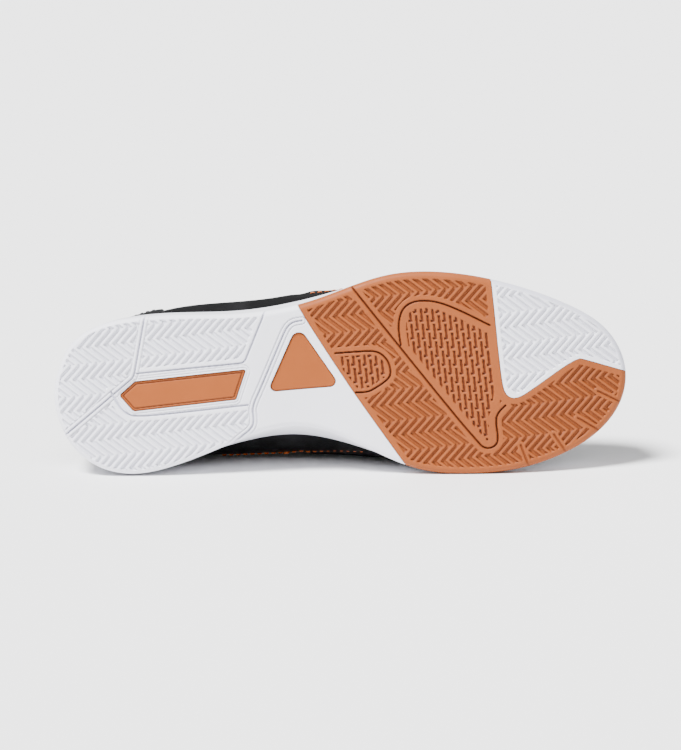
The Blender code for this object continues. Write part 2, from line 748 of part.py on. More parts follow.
def turn_outwards(shell):
    """Turns an open shell's faces away from the middle of the shoe."""
    middle = Vector((LENGTH / 2.0, 0.0, HEEL_HEIGHT / 3.0))
    facing = sum((face.center - middle).dot(face.normal) * face.area for face in shell.data.polygons)
    if facing < 0.0:
        shell.data.flip_normals()


def eyelets():
    """Eyelet places: rows of (x, outer y, inner y), from the vamp to the top."""
    share = np.arange(EYELET_PAIRS) / (EYELET_PAIRS - 1)
    throat = RIBS_OUTER[THROAT_TOP:THROAT_FOOT + 2]
    front = RIBS_OUTER[THROAT_FOOT].top * LENGTH + EYELET_MARGIN
    back = RIBS_OUTER[THROAT_TOP].top * LENGTH + EYELET_MARGIN
    x = front + (back - front) * share
    tops = [row.top * LENGTH for row in throat]
    half = spline(tops, [row.half * BALL_WIDTH for row in throat], x)[:, 0]
    across = crest(x)[0]
    return np.column_stack((x, across - half - EYELET_MARGIN, across + half + EYELET_MARGIN))


def eyelet_cutters(cutters):
    """Round cutters through the eyestay and the wall beneath it."""
    made = []
    for pair, (x, outer, inner) in enumerate(eyelets()):
        for side, y in (("outer", outer), ("inner", inner)):
            made.append(eyelet_cutter(f"eyelet_{side}_{pair + 1}", x, y, cutters))
    return made


def eyelet_cutter(name, x, y, cutters):
    """One cutter, square to the instep at its place."""
    old = bpy.data.objects.get(name)
    if old:
        return old
    spot = np.array((x,))
    height = instep(spot, y)[0]
    slope_x = (instep(spot + SLOPE_STEP, y)[0] - height) / SLOPE_STEP
    slope_y = (instep(spot, y + SLOPE_STEP)[0] - height) / SLOPE_STEP
    form = bmesh.new()
    bmesh.ops.create_cone(
        form, cap_ends=True, segments=EYELET_SIDES, radius1=EYELET_HOLE / 2.0,
        radius2=EYELET_HOLE / 2.0, depth=6.0 * EYELET_HOLE,
    )
    mesh = bpy.data.meshes.new(name)
    form.to_mesh(mesh)
    form.free()
    cutter = bpy.data.objects.new(name, mesh)
    cutter.location = (x, y, height)
    cutter.rotation_mode = "QUATERNION"
    cutter.rotation_quaternion = Vector((-slope_x, -slope_y, 1.0)).to_track_quat("Z", "Y")
    hide_cutter(cutter, cutters)
    return cutter


def overlay(name, ring, low, high, columns, parts, finish):
    """A panel over the upper, between two lines of shares, one gap off its face."""
    rows = []
    for column in range(columns + 1):
        share = low + (high - low) * column / columns
        rows.append(upper_surface(ring, share) + upper_normal(ring, share) * GAP)
    count = len(ring)
    panel = make_object(name, np.vstack(rows), band_faces(len(rows), count, False), parts, finish)
    turn_outwards(panel)
    solidify = panel.modifiers.new("Thickness", "SOLIDIFY")
    solidify.thickness = OVERLAY
    solidify.offset = 1.0
    solidify.use_even_offset = True
    return panel


def share_at_distance(ring, distance):
    """Share along each rib that lies a distance below its top edge."""
    shares = np.linspace(0.0, 1.0, 41)
    line = np.array([upper_surface(ring, share) for share in shares])
    pieces = np.linalg.norm(np.diff(line, axis=0), axis=2)
    below = np.vstack((np.cumsum(pieces[::-1], axis=0)[::-1], np.zeros((1, len(ring)))))
    return np.array([np.interp(-distance, -below[:, step], shares) for step in range(len(ring))])


def share_over_rim(ring, clearance):
    """Share along each rib that lies a height over the sole's rim."""
    shares = np.linspace(0.0, 0.6, 61)
    base = feather(ring)[:, 2]
    line = np.array([upper_surface(ring, share)[:, 2] - base for share in shares])
    return np.array([np.interp(clearance, line[:, step], shares) for step in range(len(ring))])


def overlays(parts, cutters, finishes):
    """Toe cap, heel counter and eyestay, cut from the upper's own surface."""
    for name, panel in (("toe_cap", TOE_CAP), ("heel_counter", COUNTER)):
        ring = stations(panel.middle, panel.reach)
        low = share_over_rim(ring, OVERLAY_LIFT)
        arch = 1.0 - (np.abs(ring - panel.middle) / panel.reach) ** 2
        high = low + panel.ends + panel.more * arch
        overlay(name, ring, low, high, panel.columns, parts, finishes["black_overlay"])

    ring = stations(EYESTAY.middle, EYESTAY.reach)
    high = share_at_distance(ring, GAP)
    low = share_at_distance(ring, EYESTAY_WIDTH)
    eyestay = overlay("eyestay", ring, low, high, EYESTAY.columns, parts, finishes["black_overlay"])
    cut(eyestay, eyelet_cutters(cutters))


def under_upper(points):
    """Points below the upper, moved inwards to lie a gap or more under its inner face."""
    ring, share = np.meshgrid(np.linspace(0.38, 1.62, 125), np.linspace(0.70, 1.0, 9))
    ring = ring.ravel()
    share = share.ravel()
    face = upper_surface(ring, share)
    normal = upper_normal(ring, share)
    wall = np.array([wall_thickness(place_round, up) for place_round, up in zip(ring, share)])
    moved = []
    for point in points:
        near = np.argmin(np.linalg.norm(face - point, axis=1))
        depth = (face[near] - point) @ normal[near]
        push = wall[near] + 3.0 * GAP - depth
        moved.append(point - normal[near] * max(0.0, push) * (share[near] < 1.0))
    return np.array(moved)


def tongue(parts, finishes):
    """Padded tongue under the throat, from under the vamp to above the top eyelets."""
    across = np.linspace(-1.0, 1.0, TONGUE_COLUMNS + 1)
    along = [row.along for row in reversed(TONGUE_WIDTHS)]
    halves = [row.half for row in reversed(TONGUE_WIDTHS)]
    rows = []
    for place_along in np.linspace(along[-1], along[0], TONGUE_STEPS + 1):
        x = np.full(len(across), place_along * LENGTH)
        half = spline(along, halves, (place_along,))[0, 0] * BALL_WIDTH
        y = crest(x)[0] + across * half
        drop = WALL + 3.0 * GAP + TONGUE_DROP * np.abs(across) ** 3
        rows.append(np.column_stack((x, y, instep(x, y) - drop)))
    points = under_upper(np.vstack(rows))
    faces = band_faces(len(rows), len(across), False)
    sheet = make_object("tongue", points, faces, parts, finishes["tongue"])
    turn_outwards(sheet)
    solidify = sheet.modifiers.new("Padding", "SOLIDIFY")
    solidify.thickness = TONGUE
    solidify.offset = -1.0
    solidify.use_even_offset = True


def lace_strip(name, start, end, lift, parts, finish):
    """A flat lace from one eyelet to the next across the throat."""
    share = np.linspace(0.0, 1.0, LACE_STEPS + 1)
    middle = start + (end - start) * share[:, None]
    along = (end - start) / np.linalg.norm(end - start)
    beside = np.array((-along[1], along[0])) * LACE_WIDTH / 2.0
    bump = lift * np.sin(math.pi * share) ** 4
    clearance = OVERLAY + 2.0 * GAP + LACE_LIFT
    rings = []
    for step in range(LACE_STEPS + 1):
        ring = []
        for side, rise in ((-1.0, 0.0), (1.0, 0.0), (1.0, LACE_THICKNESS), (-1.0, LACE_THICKNESS)):
            spot = middle[step] + side * beside
            low = instep(spot[:1], spot[1])[0] + clearance + bump[step]
            ring.append((spot[0], spot[1], low + rise))
        rings.append(np.array(ring))
    faces = band_faces(len(rings), 4)
    faces += [(0, 1, 2, 3), tuple(4 * LACE_STEPS + corner for corner in range(4))]
    return make_object(name, np.vstack(rings), faces, parts, finish)


def laces(parts, cutters, finishes):
    """The crossings between neighbouring eyelet pairs, each joined into one body."""
    holes = eyelets()
    for pair in range(EYELET_PAIRS - 1):
        here = holes[pair]
        after = holes[pair + 1]
        inset = math.copysign(LACE_INSET_SHARE * LACE_WIDTH + GAP, after[0] - here[0])
        first = lace_strip(
            f"lace_cross_{pair + 1}", np.array((here[0] + inset, here[1])),
            np.array((after[0] - inset, after[2])), 0.0, parts, finishes["lace"],
        )
        second = lace_strip(
            f"lace_over_{pair + 1}", np.array((here[0] + inset, here[2])),
            np.array((after[0] - inset, after[1])), LACE_THICKNESS / 2.0, parts, finishes["lace"],
        )
        parts.objects.unlink(second)
        hide_cutter(second, cutters)
        cut(first, [second], "UNION")


def body_data(item):
    """Volume, centre of volume and corners of an object's evaluated mesh."""
    mesh = evaluated_mesh(item)
    corners = np.empty(len(mesh.vertices) * 3)
    mesh.vertices.foreach_get("co", corners)
    corners = corners.reshape(-1, 3)
    mesh.calc_loop_triangles()
    index = np.empty(len(mesh.loop_triangles) * 3, int)
    mesh.loop_triangles.foreach_get("vertices", index)
    bpy.data.meshes.remove(mesh)
    first, second, third = corners[index.reshape(-1, 3)].transpose(1, 0, 2)
    volumes = np.einsum("ij,ij->i", first, np.cross(second, third)) / 6.0
    volume = volumes.sum()
    centre = (volumes[:, None] * (first + second + third) / 4.0).sum(axis=0) / volume
    return volume, centre, corners


def resting_face(corners, centre):
    """The way the hull's stable face looks that is turned most to the inner side."""
    form = bmesh.new()
    for corner in corners:
        form.verts.new(corner)
    hull = bmesh.ops.convex_hull(form, input=form.verts, use_existing_faces=False)
    faces = [part for part in hull["geom"] if isinstance(part, bmesh.types.BMFace)]
    best = None
    for face in faces:
        points = [np.array(vertex.co) for vertex in face.verts]
        normal = np.cross(points[1] - points[0], points[2] - points[0])
        normal /= np.linalg.norm(normal)
        if normal @ (points[0] - centre) < 0.0:
            normal = -normal
        foot = centre + normal * (normal @ (points[0] - centre))
        sides = [np.cross(b - a, foot - a) @ normal for a, b in zip(points, points[1:] + points[:1])]
        inside = min(sides) >= 0.0 or max(sides) <= 0.0
        if inside and (best is None or normal[1] > best[1]):
            best = normal
    form.free()
    return best


def lay_down(items, densities):
    """Turns the pieces onto the sole's inner edge and sets their box on the origin."""
    masses = []
    centres = []
    corners = []
    for item in items:
        volume, centre, points = body_data(item)
        stem = next(name for name in densities if item.name.startswith(name))
        masses.append(volume * densities[stem])
        centres.append(centre)
        corners.append(points)
    masses = np.array(masses)
    centre = (masses[:, None] * np.array(centres)).sum(axis=0) / masses.sum()
    corners = np.vstack(corners)
    up = -resting_face(corners, centre)
    ahead = np.array((1.0, 0.0, 0.0)) - up * up[0]
    ahead /= np.linalg.norm(ahead)
    turn = np.array((ahead, np.cross(up, ahead), up))
    laid = corners @ turn.T
    middle = (laid.min(axis=0) + laid.max(axis=0)) / 2.0
    shift = np.array((middle[0], middle[1], laid.min(axis=0)[2]))
    for item in items:
        mesh = item.data
        flat = np.empty(len(mesh.vertices) * 3)
        mesh.vertices.foreach_get("co", flat)
        moved = flat.reshape(-1, 3) @ turn.T - shift
        mesh.vertices.foreach_set("co", moved.ravel())
        mesh.update()
    return turn, shift, masses.sum(), centre


def main():
    """Builds the shoe."""
    for item in list(bpy.data.objects):
        bpy.data.objects.remove(item)
    parts = bpy.data.collections.new("indoor_soccer_shoe")
    cutters = bpy.data.collections.new("cutters")
    bpy.context.scene.collection.children.link(parts)
    bpy.context.scene.collection.children.link(cutters)
    finishes = {
        "white_rubber": material("white_rubber", (0.80, 0.80, 0.83), 0.45),
        "gum_rubber": material("gum_rubber", (0.58, 0.24, 0.10), 0.50),
        "orange_rubber": material("orange_rubber", (0.62, 0.24, 0.09), 0.50),
        "white_foam": material("white_foam", (0.78, 0.78, 0.80), 0.60),
        "liner": material("liner", (0.04, 0.04, 0.045), 0.90),
        "black_upper": material("black_upper", (0.015, 0.015, 0.017), 0.70),
        "black_overlay": material("black_overlay", (0.02, 0.02, 0.022), 0.55),
        "tongue": material("tongue", (0.02, 0.02, 0.022), 0.85),
        "lace": material("lace", (0.02, 0.02, 0.02), 0.80),
    }
    outsole(parts, cutters, finishes)
    midsole(parts, finishes)
    insole(parts, finishes)
    upper(parts, cutters, finishes)
    overlays(parts, cutters, finishes)
    tongue(parts, finishes)
    laces(parts, cutters, finishes)
    densities = {
        "outsole": RUBBER_DENSITY, "heel_insert": RUBBER_DENSITY, "arch_insert": RUBBER_DENSITY,
        "midsole": FOAM_DENSITY, "insole": LINER_DENSITY, "upper": SHELL_DENSITY,
        "toe_cap": SHELL_DENSITY, "heel_counter": SHELL_DENSITY, "eyestay": SHELL_DENSITY,
        "tongue": PADDING_DENSITY, "lace": LACE_DENSITY,
    }
    turn, shift, mass, centre = lay_down(list(parts.objects), densities)
    print("mass", round(mass, 4), "centre", np.round(centre, 4).tolist())
    for spot in place((HEEL_REST, FOREFOOT_REST)):
        print("flat spot", np.round(turn @ np.array((*spot, 0.0)) - shift, 6).tolist())
    print("out of the sole", np.round(-turn[:, 2], 6).tolist())


main()
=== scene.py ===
"""Looks of one indoor soccer shoe for the right foot, lying on its inner side.

Every shape is worked out in the shoe's own upright frame, in metres: X runs from the back of
the heel to the toe, Y towards the inner side of the foot and Z up from the ground under the
tread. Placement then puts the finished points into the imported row's frame, which it reads
from the row's two flat mounts.
"""

from __future__ import annotations

import json
import logging
import math
from dataclasses import dataclass, field
from enum import Enum
from typing import Any, Callable, NamedTuple, Sequence

import bpy
import numpy as np
from mathutils import Matrix, Vector
from numpy.typing import NDArray

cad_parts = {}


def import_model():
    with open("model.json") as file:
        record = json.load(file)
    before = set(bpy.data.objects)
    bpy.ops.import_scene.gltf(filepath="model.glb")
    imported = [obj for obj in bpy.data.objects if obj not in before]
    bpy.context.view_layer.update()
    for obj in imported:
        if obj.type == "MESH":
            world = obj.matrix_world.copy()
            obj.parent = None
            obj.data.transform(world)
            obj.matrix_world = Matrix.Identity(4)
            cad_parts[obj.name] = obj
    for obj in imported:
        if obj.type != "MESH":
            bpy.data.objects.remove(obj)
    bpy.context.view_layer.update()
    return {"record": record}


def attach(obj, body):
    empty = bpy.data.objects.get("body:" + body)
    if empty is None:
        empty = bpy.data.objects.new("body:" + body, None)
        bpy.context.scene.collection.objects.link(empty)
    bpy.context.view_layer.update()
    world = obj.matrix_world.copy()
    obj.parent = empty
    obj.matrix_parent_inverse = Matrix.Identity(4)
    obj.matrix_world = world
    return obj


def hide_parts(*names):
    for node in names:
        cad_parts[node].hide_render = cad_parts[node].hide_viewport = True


Array = NDArray[np.float64]
Faces = NDArray[np.int64]

LOG = logging.getLogger("indoor_soccer_shoe")
BODY = "root"
# Point attribute that carries painted shade: its share darkens a rubber's colour towards its groove colour.
PAINTED_SHADE_ATTRIBUTE = "cut"


class Spot(NamedTuple):
    """A place on the tread, as shares of the shoe's length and ball width."""

    along: float
    across: float


class Side(NamedTuple):
    """The sole's side at one station, in shares of its height: footbed, rim, lean and tuck."""

    along: float
    footbed: float
    rim: float
    lean_outer: float
    lean_inner: float
    tuck_outer: float
    tuck_inner: float


class Crest(NamedTuple):
    """The middle line of collar and throat, and the top of the instep above it."""

    along: float
    across: float
    height: float


class Rib(NamedTuple):
    """One rib of the upper: top edge, aim, and the angles and holds of its two ends."""

    along: float
    top: float
    half: float
    height: float
    aim: float
    flare: float
    rise: float
    lean: float
    reach: float


class Corner(NamedTuple):
    """A window's corner, with its radius in shares of the ball width."""

    along: float
    across: float
    radius: float


class Thread(NamedTuple):
    """A place on a side seam: round the shoe, and its height over the sole's rim in metres."""

    ring: float
    over_rim: float


class Crease(NamedTuple):
    """A trough over the vamp: place, lean, width and depth, the first three by the length."""

    along: float
    lean: float
    width: float
    depth: float


class Width(NamedTuple):
    """The tongue's half width at a place along the shoe."""

    along: float
    half: float


OUTLINE_OUTER = (
    Spot(0.000, 0.035), Spot(0.010, -0.115), Spot(0.033, -0.229), Spot(0.074, -0.306),
    Spot(0.140, -0.350), Spot(0.227, -0.365), Spot(0.310, -0.371), Spot(0.380, -0.393),
    Spot(0.450, -0.440), Spot(0.520, -0.510), Spot(0.586, -0.563), Spot(0.656, -0.578),
    Spot(0.736, -0.556), Spot(0.820, -0.497), Spot(0.900, -0.409), Spot(0.958, -0.306),
    Spot(0.990, -0.180),
)
OUTLINE_INNER = (
    Spot(1.000, -0.045), Spot(0.988, 0.090), Spot(0.950, 0.222), Spot(0.885, 0.331),
    Spot(0.805, 0.400), Spot(0.720, 0.421), Spot(0.640, 0.399), Spot(0.568, 0.328),
    Spot(0.500, 0.256), Spot(0.425, 0.221), Spot(0.350, 0.253), Spot(0.280, 0.320),
    Spot(0.210, 0.384), Spot(0.140, 0.419), Spot(0.080, 0.386), Spot(0.035, 0.294),
    Spot(0.010, 0.175),
)
SIDES = (
    Side(0.00, 0.64, 1.06, 0.11, 0.11, 0.00, 0.00),
    Side(0.15, 0.64, 1.03, 0.05, 0.08, 0.00, 0.00),
    Side(0.32, 0.58, 0.97, 0.03, -0.04, 0.02, 0.12),
    Side(0.43, 0.52, 0.92, 0.03, -0.12, 0.04, 0.20),
    Side(0.55, 0.46, 0.84, 0.11, -0.06, 0.00, 0.06),
    Side(0.70, 0.42, 0.77, 0.15, 0.12, 0.00, 0.00),
    Side(0.88, 0.42, 0.76, 0.16, 0.14, 0.00, 0.00),
    Side(1.00, 0.42, 0.82, 0.17, 0.17, 0.00, 0.00),
)
CRESTS = (
    Crest(0.00, 0.035, 1.90), Crest(0.22, 0.030, 1.52), Crest(0.34, 0.022, 1.13),
    Crest(0.40, 0.018, 0.98), Crest(0.50, 0.005, 0.825), Crest(0.60, -0.010, 0.715),
    Crest(0.69, -0.022, 0.635), Crest(0.80, -0.038, 0.56), Crest(1.00, -0.045, 0.40),
)
HEEL_RIB = Rib(0.00, 0.040, 0.000, 1.000, 0.11, 13, 0.38, 4, 0.30)
TOE_RIB = Rib(1.00, 0.688, 0.000, 0.0, 0.69, 10, 0.17, 0, 0.46)
RIBS_OUTER = (
    Rib(0.08, 0.058, 0.140, 0.970, 0.11, -4, 0.34, 4, 0.30),
    Rib(0.16, 0.120, 0.250, 0.855, 0.13, 2, 0.38, 6, 0.30),
    Rib(0.25, 0.200, 0.325, 0.765, 0.21, 34, 0.50, 8, 0.30),
    Rib(0.33, 0.270, 0.330, 0.785, 0.28, 43, 0.54, 10, 0.30),
    Rib(0.41, 0.335, 0.290, 0.950, 0.35, 33, 0.50, 18, 0.32),
    Rib(0.47, 0.378, 0.222, 0.0, 0.40, 15, 0.42, 0, 0.32),
    Rib(0.51, 0.405, 0.196, 0.0, 0.43, 6, 0.40, 0, 0.33),
    Rib(0.57, 0.447, 0.183, 0.0, 0.47, 5, 0.38, 0, 0.34),
    Rib(0.64, 0.505, 0.175, 0.0, 0.52, 4, 0.33, 0, 0.34),
    Rib(0.72, 0.570, 0.162, 0.0, 0.57, 4, 0.29, 0, 0.35),
    Rib(0.80, 0.627, 0.140, 0.0, 0.63, 5, 0.25, 0, 0.37),
    Rib(0.88, 0.667, 0.092, 0.0, 0.66, 7, 0.20, 0, 0.41),
    Rib(0.94, 0.682, 0.046, 0.0, 0.68, 9, 0.18, 0, 0.44),
)
RIBS_INNER = (
    Rib(0.08, 0.058, 0.150, 0.970, 0.11, 12, 0.38, 4, 0.30),
    Rib(0.16, 0.120, 0.262, 0.870, 0.13, 9, 0.38, 6, 0.30),
    Rib(0.25, 0.200, 0.312, 0.790, 0.21, 20, 0.40, 8, 0.30),
    Rib(0.33, 0.270, 0.315, 0.810, 0.28, 50, 0.50, 10, 0.22),
    Rib(0.41, 0.335, 0.280, 0.960, 0.35, 74, 0.54, 18, 0.16),
    Rib(0.47, 0.378, 0.222, 0.0, 0.40, 78, 0.46, 0, 0.22),
    Rib(0.51, 0.405, 0.196, 0.0, 0.43, 76, 0.42, 0, 0.25),
    Rib(0.57, 0.447, 0.183, 0.0, 0.47, 52, 0.36, 0, 0.30),
    Rib(0.64, 0.505, 0.175, 0.0, 0.52, 9, 0.32, 0, 0.34),
    Rib(0.72, 0.570, 0.162, 0.0, 0.57, 6, 0.28, 0, 0.35),
    Rib(0.80, 0.627, 0.140, 0.0, 0.63, 6, 0.24, 0, 0.37),
    Rib(0.88, 0.667, 0.092, 0.0, 0.66, 7, 0.20, 0, 0.41),
    Rib(0.94, 0.682, 0.046, 0.0, 0.68, 9, 0.18, 0, 0.44),
)
TONGUE_WIDTHS = (
    Width(0.312, 0.115), Width(0.325, 0.165), Width(0.350, 0.182), Width(0.390, 0.196),
    Width(0.430, 0.238), Width(0.480, 0.260), Width(0.560, 0.255), Width(0.640, 0.225),
    Width(0.690, 0.185), Width(0.715, 0.150),
)

FOREFOOT_PARTING = (
    Spot(0.414, -0.459), Spot(0.427, -0.399), Spot(0.446, -0.309), Spot(0.498, -0.085),
    Spot(0.533, 0.060), Spot(0.612, 0.369), Spot(0.634, 0.455),
)
TOE_PARTING = (
    Spot(0.756, -0.620), Spot(0.762, -0.489), Spot(0.773, -0.190), Spot(0.781, -0.010),
    Spot(0.788, 0.030), Spot(0.798, 0.045), Spot(0.810, 0.040), Spot(0.826, 0.015),
    Spot(0.909, -0.150), Spot(0.927, -0.140), Spot(1.030, -0.050),
)
FLEX_GROOVE = (
    Spot(0.505, -0.548), Spot(0.519, -0.499), Spot(0.603, -0.204), Spot(0.696, 0.120),
    Spot(0.740, 0.264), Spot(0.748, 0.286), Spot(0.760, 0.290), Spot(0.771, 0.272),
    Spot(0.774, 0.239), Spot(0.769, 0.150), Spot(0.774, 0.112), Spot(0.786, 0.080),
)
OVAL_GROOVE = (
    Spot(0.758, -0.314), Spot(0.708, -0.384), Spot(0.673, -0.424), Spot(0.647, -0.436),
    Spot(0.624, -0.429), Spot(0.608, -0.399), Spot(0.601, -0.349), Spot(0.600, -0.289),
    Spot(0.604, -0.215),
)
DEE_GROOVE = (
    Spot(0.490, -0.176), Spot(0.551, -0.190), Spot(0.568, -0.180), Spot(0.582, -0.140),
    Spot(0.587, -0.090), Spot(0.584, -0.052), Spot(0.554, 0.005), Spot(0.542, 0.014),
    Spot(0.526, 0.015),
)
HEEL_GROOVE = (
    Spot(0.168, -0.440), Spot(0.159, -0.349), Spot(0.140, -0.060), Spot(0.019, 0.229),
    Spot(-0.010, 0.300),
)
PAD_GROOVE = (
    Spot(0.373, -0.440), Spot(0.365, -0.359), Spot(0.332, -0.130), Spot(0.145, -0.078),
)
SHANK_GROOVE = (
    Spot(0.432, -0.336), Spot(0.416, -0.329), Spot(0.406, -0.304), Spot(0.397, -0.250),
    Spot(0.362, -0.015), Spot(0.345, 0.090), Spot(0.349, 0.140), Spot(0.346, 0.190),
    Spot(0.320, 0.244), Spot(0.299, 0.300), Spot(0.292, 0.360),
)
BAR_GROOVE = (
    Spot(0.100, 0.010), Spot(0.107, 0.052), Spot(0.122, 0.112), Spot(0.143, 0.137),
    Spot(0.253, 0.104), Spot(0.338, 0.076),
)
BAR_WINDOW = (
    Corner(0.142, -0.040, 0.006), Corner(0.336, -0.100, 0.010), Corner(0.318, 0.052, 0.010),
    Corner(0.139, 0.110, 0.022), Corner(0.114, 0.030, 0.014),
)
ARCH_WINDOW = (
    Corner(0.424, -0.320, 0.040), Corner(0.371, 0.016, 0.028), Corner(0.500, -0.014, 0.030),
)

OUTER_SEAM = (
    Thread(0.445, 0.0148), Thread(0.500, 0.0150), Thread(0.600, 0.0135), Thread(0.790, 0.0100),
)
INNER_SEAM = (
    Thread(1.474, 0.0043), Thread(1.518, 0.0070), Thread(1.560, 0.0105), Thread(1.591, 0.0132),
    Thread(1.640, 0.0142), Thread(1.680, 0.0138),
)
BAR_TACK = 1.591
CREASES = (
    Crease(0.735, 0.10, 0.0085, 0.0006), Crease(0.700, 0.16, 0.010, 0.0009),
    Crease(0.660, 0.22, 0.011, 0.0007), Crease(0.350, -0.20, 0.012, 0.0006),
)

# Fields of the tread's pattern, each a loop of spots

HEEL_END_FIELD = (
    Spot(0.168, -0.600), Spot(0.159, -0.349), Spot(0.140, -0.060), Spot(0.019, 0.229),
    Spot(-0.050, 0.400), Spot(-0.100, -0.600),
)
OUTER_PAD_FIELD = (
    Spot(0.168, -0.600), Spot(0.159, -0.349), Spot(0.143, -0.078), Spot(0.332, -0.130),
    Spot(0.365, -0.359), Spot(0.373, -0.600),
)
INNER_PAD_FIELD = (
    Spot(0.130, -0.036), Spot(0.019, 0.229), Spot(-0.050, 0.400), Spot(0.000, 0.700),
    Spot(0.292, 0.700), Spot(0.299, 0.300), Spot(0.320, 0.244), Spot(0.346, 0.190),
    Spot(0.349, 0.140), Spot(0.338, 0.076), Spot(0.253, 0.104), Spot(0.143, 0.137),
    Spot(0.122, 0.112), Spot(0.107, 0.052), Spot(0.100, 0.010),
)
OVAL_FIELD = OVAL_GROOVE + FLEX_GROOVE[2:-1] + (
    Spot(0.781, -0.010), Spot(0.773, -0.190), Spot(0.765, -0.314),
)
DEE_FIELD = DEE_GROOVE + (Spot(0.498, -0.085),)
SPOKES = (
    (Spot(0.948, 0.015), Spot(0.990, 0.075)), (Spot(0.913, 0.145), Spot(0.953, 0.214)),
    (Spot(0.871, 0.224), Spot(0.893, 0.314)), (Spot(0.813, 0.274), Spot(0.827, 0.374)),
)


def natural_spline(knots: Sequence[float], values: Any, at: Any) -> Array:
    """Reads a natural cubic curve through values at knots, at many places.

    The second derivatives solve the usual three-banded system, and are zero at both ends.

    Args:
        knots: Rising places of the values.
        values: One value or one row of values at each knot.
        at: Places to read.

    Returns:
        One row for each place.
    """
    knots = np.asarray(knots, float)
    values = np.asarray(values, float).reshape(len(knots), -1)
    at = np.asarray(at, float)
    step = np.diff(knots)
    slope = np.diff(values, axis=0) / step[:, None]
    count = len(knots)
    system = np.eye(count)
    inner = np.arange(1, count - 1)
    system[inner, inner - 1] = step[:-1]
    system[inner, inner] = 2.0 * (step[:-1] + step[1:])
    system[inner, inner + 1] = step[1:]
    right = np.zeros_like(values)
    right[1:-1] = 6.0 * np.diff(slope, axis=0)
    bend = np.linalg.solve(system, right)
    left = np.clip(np.searchsorted(knots, at, side="right") - 1, 0, count - 2)
    width = step[left][:, None]
    after = (at - knots[left])[:, None]
    before = width - after
    return (
        (bend[left] * before**3 + bend[left + 1] * after**3) / (6.0 * width)
        + (values[left] / width - bend[left] * width / 6.0) * before
        + (values[left + 1] / width - bend[left + 1] * width / 6.0) * after
    )


def closed_spline(knots: Any, values: Any, period: float, at: Any) -> Array:
    """Reads a cubic curve that closes on itself after one period.

    Args:
        knots: Rising places within one period.
        values: One row of values at each knot.
        period: Where the curve closes.
        at: Places to read.

    Returns:
        One row for each place.
    """
    knots = np.asarray(knots, float)
    around = np.concatenate((knots - period, knots, knots + period))
    return natural_spline(around, np.vstack((values, values, values)), np.mod(at, period))


def soft_step(low: float, high: float, value: Any) -> Array:
    """Rises smoothly from 0 at low to 1 at high, as 3t² - 2t³ of the share between them."""
    share = np.clip((np.asarray(value, float) - low) / (high - low), 0.0, 1.0)
    return share * share * (3.0 - 2.0 * share)


def line_distance(points: Array, line: Array, closed: bool = False) -> Array:
    """Distance of flat points from a line of straight stretches.

    Each point is dropped square onto every stretch, held to its ends, and the least
    distance is kept. The points go through in slices to save memory.

    Args:
        points: Flat points, one row each.
        line: Corners of the line.
        closed: Whether the last corner joins the first.

    Returns:
        One distance for each point.
    """
    start = line if closed else line[:-1]
    run = (np.roll(line, -1, axis=0) if closed else line[1:]) - start
    square = np.maximum((run**2).sum(axis=1), 1e-18)
    slices = np.array_split(points, max(1, len(points) * len(start) // 2_000_000))
    found = []
    for part in slices:
        offset = part[:, None, :] - start
        share = np.clip((offset * run).sum(axis=2) / square, 0.0, 1.0)
        gap = offset - share[..., None] * run
        found.append(np.sqrt((gap**2).sum(axis=2).min(axis=1)))
    return np.concatenate(found)


def inside_loop(points: Array, loop: Array) -> NDArray[np.bool_]:
    """Whether flat points lie inside a loop: a ray along X meets it an odd number of times.

    Args:
        points: Flat points, one row each.
        loop: Corners of the loop.

    Returns:
        True for each point inside.
    """
    end = np.roll(loop, -1, axis=0)
    rise = np.where(end[:, 1] == loop[:, 1], 1e-15, end[:, 1] - loop[:, 1])
    slices = np.array_split(points, max(1, len(points) * len(loop) // 2_000_000))
    found = []
    for part in slices:
        y = part[:, 1, None]
        spans = (loop[:, 1] > y) != (end[:, 1] > y)
        meets = loop[:, 0] + (y - loop[:, 1]) * (end[:, 0] - loop[:, 0]) / rise
        found.append((spans & (part[:, 0, None] < meets)).sum(axis=1) % 2 == 1)
    return np.concatenate(found)


def loop_depth(points: Array, loop: Array) -> Array:
    """Distance of flat points from a loop, positive inside it and negative outside."""
    distance = line_distance(points, loop, closed=True)
    return np.where(inside_loop(points, loop), distance, -distance)


def cut_corners(line: Array, reach: float = math.inf) -> Array:
    """Rounds an open line in two passes.

    Each pass puts points at a quarter and three quarters of every stretch, but no further
    than the reach from the stretch's ends.

    Args:
        line: Points of the line.
        reach: How far from a corner its rounding may begin.

    Returns:
        Points of the rounded line.
    """
    for _ in range(2):
        ahead = np.diff(line, axis=0)
        share = np.minimum(0.25, reach / np.linalg.norm(ahead, axis=1))[:, None]
        near = line[:-1] + share * ahead
        far = line[1:] - share * ahead
        middle = np.stack((near, far), axis=1).reshape(-1, 2)
        line = np.vstack((line[:1], middle, line[-1:]))
    return line


def unit(vectors: Array) -> Array:
    """Vectors scaled to length one along their last axis."""
    return vectors / np.maximum(np.linalg.norm(vectors, axis=-1, keepdims=True), 1e-12)


def grid_normals(grid: Array, wrap: bool) -> Array:
    """Normals of a surface given as a grid of points, from its own differences.

    Args:
        grid: Points in rows and columns.
        wrap: Whether the columns close on themselves.

    Returns:
        Unit vectors along the cross product of the column's and the row's direction.
    """
    if wrap:
        around = np.roll(grid, -1, axis=1) - np.roll(grid, 1, axis=1)
    else:
        around = np.gradient(grid, axis=1)
    return unit(np.cross(around, np.gradient(grid, axis=0)))


def lattice(rows: int, columns: int, wrap: bool = False) -> Faces:
    """Quads over a grid of rows times columns of points, counted row by row."""
    row, column = np.meshgrid(
        np.arange(rows - 1), np.arange(columns if wrap else columns - 1), indexing="ij"
    )
    beside = (column + 1) % columns
    quads = (row * columns + column, row * columns + beside)
    quads += ((row + 1) * columns + beside, (row + 1) * columns + column)
    return np.stack([part.ravel() for part in quads], axis=1)


